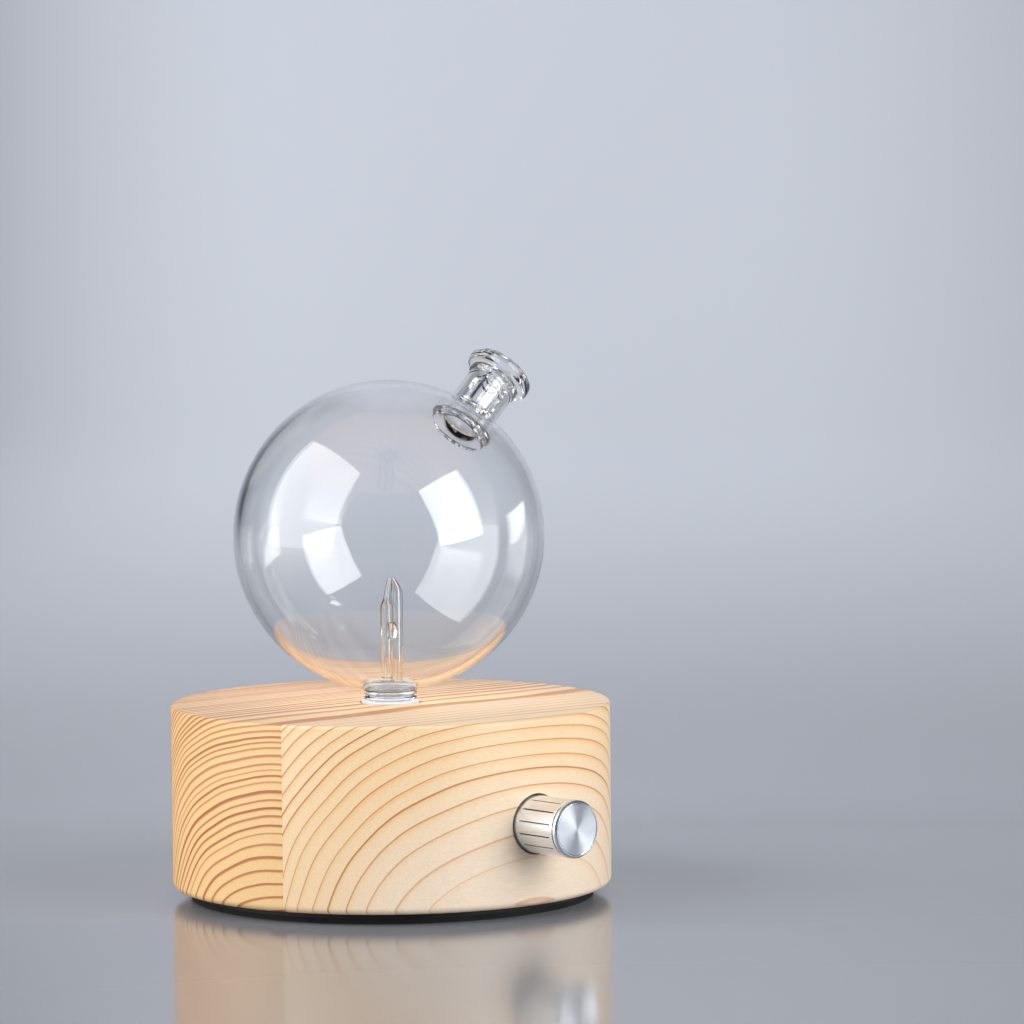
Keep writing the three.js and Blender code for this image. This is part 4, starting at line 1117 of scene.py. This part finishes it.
# %% Turn and flute the knob
KNOB_WALL = 2.5 * MM
KNOB_END_T = 3.5 * MM  # metal behind the face
RIM = 0.6 * MM
LINE_DEPTH = 0.45 * MM  # fine lines turned on both sides of the rim
FACE_DROP = 0.12 * MM
length = KNOB_BACK - KNOB_FACE
side_steps = 36
knob_profile = rounded([
    (0, length - KNOB_END_T, 0), (KNOB_R - KNOB_WALL, length - KNOB_END_T, 0.3 * MM),
    (KNOB_R - KNOB_WALL, 0, 0.2 * MM), (KNOB_R - 0.1 * MM, 0, 0.3 * MM),
])
knob_profile += [(KNOB_R, 0.5 * MM + (length - 2.4 * MM) * k / side_steps) for k in range(side_steps + 1)]
knob_profile += rounded([
    (KNOB_R, length - 1.80 * MM, 0), (KNOB_R, length - 1.72 * MM, 0),
    (KNOB_R - LINE_DEPTH, length - 1.66 * MM, 0), (KNOB_R - LINE_DEPTH, length - 1.40 * MM, 0),
    (KNOB_R, length - 1.34 * MM, 0), (KNOB_R, length - RIM, 0.15 * MM),
    (KNOB_R - 0.55 * MM, length, 0.1 * MM), (KNOB_R - 0.72 * MM, length, 0),
    (KNOB_R - 0.76 * MM, length - LINE_DEPTH, 0), (KNOB_R - 0.96 * MM, length - LINE_DEPTH, 0),
    (KNOB_R - 1.00 * MM, length - FACE_DROP, 0), (0, length - FACE_DROP, 0),
], steps=3)[1:]
face_out = Matrix.Translation((0, KNOB_BACK, KNOB_Z)) @ Matrix.Rotation(math.pi / 2, 4, "X")
knob_blank = turned("knob_blank", knob_profile, side_aluminium, segments=432, place=face_out)
flute_tree = make_flute_tree()
knob = from_tree("fluted_knob", flute_tree, {
    "Axis Height": KNOB_Z, "Flutes": 14.0, "Depth": 0.45 * MM, "Flute Share": 0.11,
    "Near End": KNOB_FACE + 2.6 * MM, "Far End": KNOB_BACK - 2.2 * MM, "Fade": 0.8 * MM,
    "Side Radius": KNOB_R,
}, knob_blank.data)
bpy.data.objects.remove(knob_blank)
knob.data.materials.append(face_aluminium)
for polygon in knob.data.polygons:
    if polygon.center.y < KNOB_FACE + 0.3 * MM and polygon.normal.y < -0.99:
        polygon.material_index = 1
smooth(knob, 20)
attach(knob, "knob")
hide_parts("knob_shell")
print("knob:", len(knob.data.polygons), "faces")

# %% [markdown]
# ## Power socket
# A round socket sits in a recess at the back: a plastic barrel with a brass pin inside.

# %% Socket barrel and pin
zinc_steel = varied("zinc_steel", (0.55, 0.57, 0.60, 1), (0.66, 0.66, 0.65, 1), (0.25, 0.42), 0.006,
                    patch_scale=220.0, grain_scale=1600.0, Metallic=1.0)
brass = varied("brass", (0.72, 0.52, 0.22, 1), (0.80, 0.61, 0.31, 1), (0.22, 0.36), 0.006,
               patch_scale=200.0, grain_scale=1500.0, Metallic=1.0)
PLUG_R = 2.85 * MM
BARREL_R = 5.3 * MM
face_back = Matrix.Translation((0, JACK_FLOOR_Y, JACK_Z)) @ Matrix.Rotation(-math.pi / 2, 4, "X")
barrel = turned("socket_barrel", rounded([
    (0, -14 * MM, 0), (BARREL_R, -14 * MM, 0.3 * MM), (BARREL_R, 0.1 * MM, 0),
    (BARREL_R + 0.8 * MM, 0.1 * MM, 0.1 * MM), (BARREL_R + 0.8 * MM, 1.5 * MM, 0.4 * MM),
    (PLUG_R + 0.3 * MM, 1.5 * MM, 0.2 * MM), (PLUG_R, 1.1 * MM, 0), (PLUG_R, -9 * MM, 0), (0, -9 * MM, 0),
]), black_plastic, segments=96, place=face_back)
pin = turned("socket_pin", rounded([
    (0, -9 * MM, 0), (1.05 * MM, -9 * MM, 0), (1.05 * MM, 0.8 * MM, 0.6 * MM), (0, 0.8 * MM, 0),
]), brass, segments=48, place=face_back)
for piece, cad_node, slot in ((barrel, "jack_body", "black_abs"), (pin, "jack_pin", "brass")):
    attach(piece, "base")
    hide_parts(cad_node)
print("socket barrel and pin")

# %% [markdown]
# ## Inside the base
# The pump, the motor, the board, the control and their wires keep the model's own
# shapes. Each gets the finish of what it is made of, so that it looks right when the
# object is taken apart.

# %% Finishes for the inner pieces
board_green = varied("solder_mask", (0.012, 0.10, 0.04, 1), (0.02, 0.16, 0.06, 1), (0.25, 0.4), 0.02,
                     patch_scale=350.0, grain_scale=700.0, stretch=(1.0, 3.0, 1.0), Coat_Weight=0.3)
ferrite = varied("ferrite", (0.05, 0.05, 0.055, 1), (0.09, 0.085, 0.085, 1), (0.5, 0.7), 0.04,
                 grain_scale=2200.0, specks=0.6)
foam = varied("foam", (0.015, 0.015, 0.016, 1), (0.035, 0.035, 0.037, 1), (0.85, 0.98), 0.25,
              grain_scale=1100.0, specks=1.5)
red_wire = varied("red_wire", (0.42, 0.02, 0.015, 1), (0.50, 0.04, 0.02, 1), (0.3, 0.45), 0.01)
black_wire = varied("black_wire", (0.012, 0.012, 0.012, 1), (0.02, 0.02, 0.02, 1), (0.3, 0.45), 0.01)
slot_finish = {
    "zinc_steel": zinc_steel, "brass": brass, "black_abs": black_plastic, "white_nylon": white_nylon,
    "grey_silicone": grey_silicone, "pad_rubber": black_rubber, "board_laminate": board_green,
    "magnet_ferrite": ferrite, "foam_pad": foam, "red_insulation": red_wire,
    "black_insulation": black_wire, "turned_aluminium": side_aluminium, "pine": back_pine,
    "clear_glass": blown_glass,
}
dressed = 0
for part in frame["record"]["subparts"]:
    cad_object = frame["nodes"][part["node"]]
    cad_object.data.materials.clear()
    cad_object.data.materials.append(slot_finish[part["material_slot"]])
    dressed += 1
print(dressed, "model nodes have a finish")
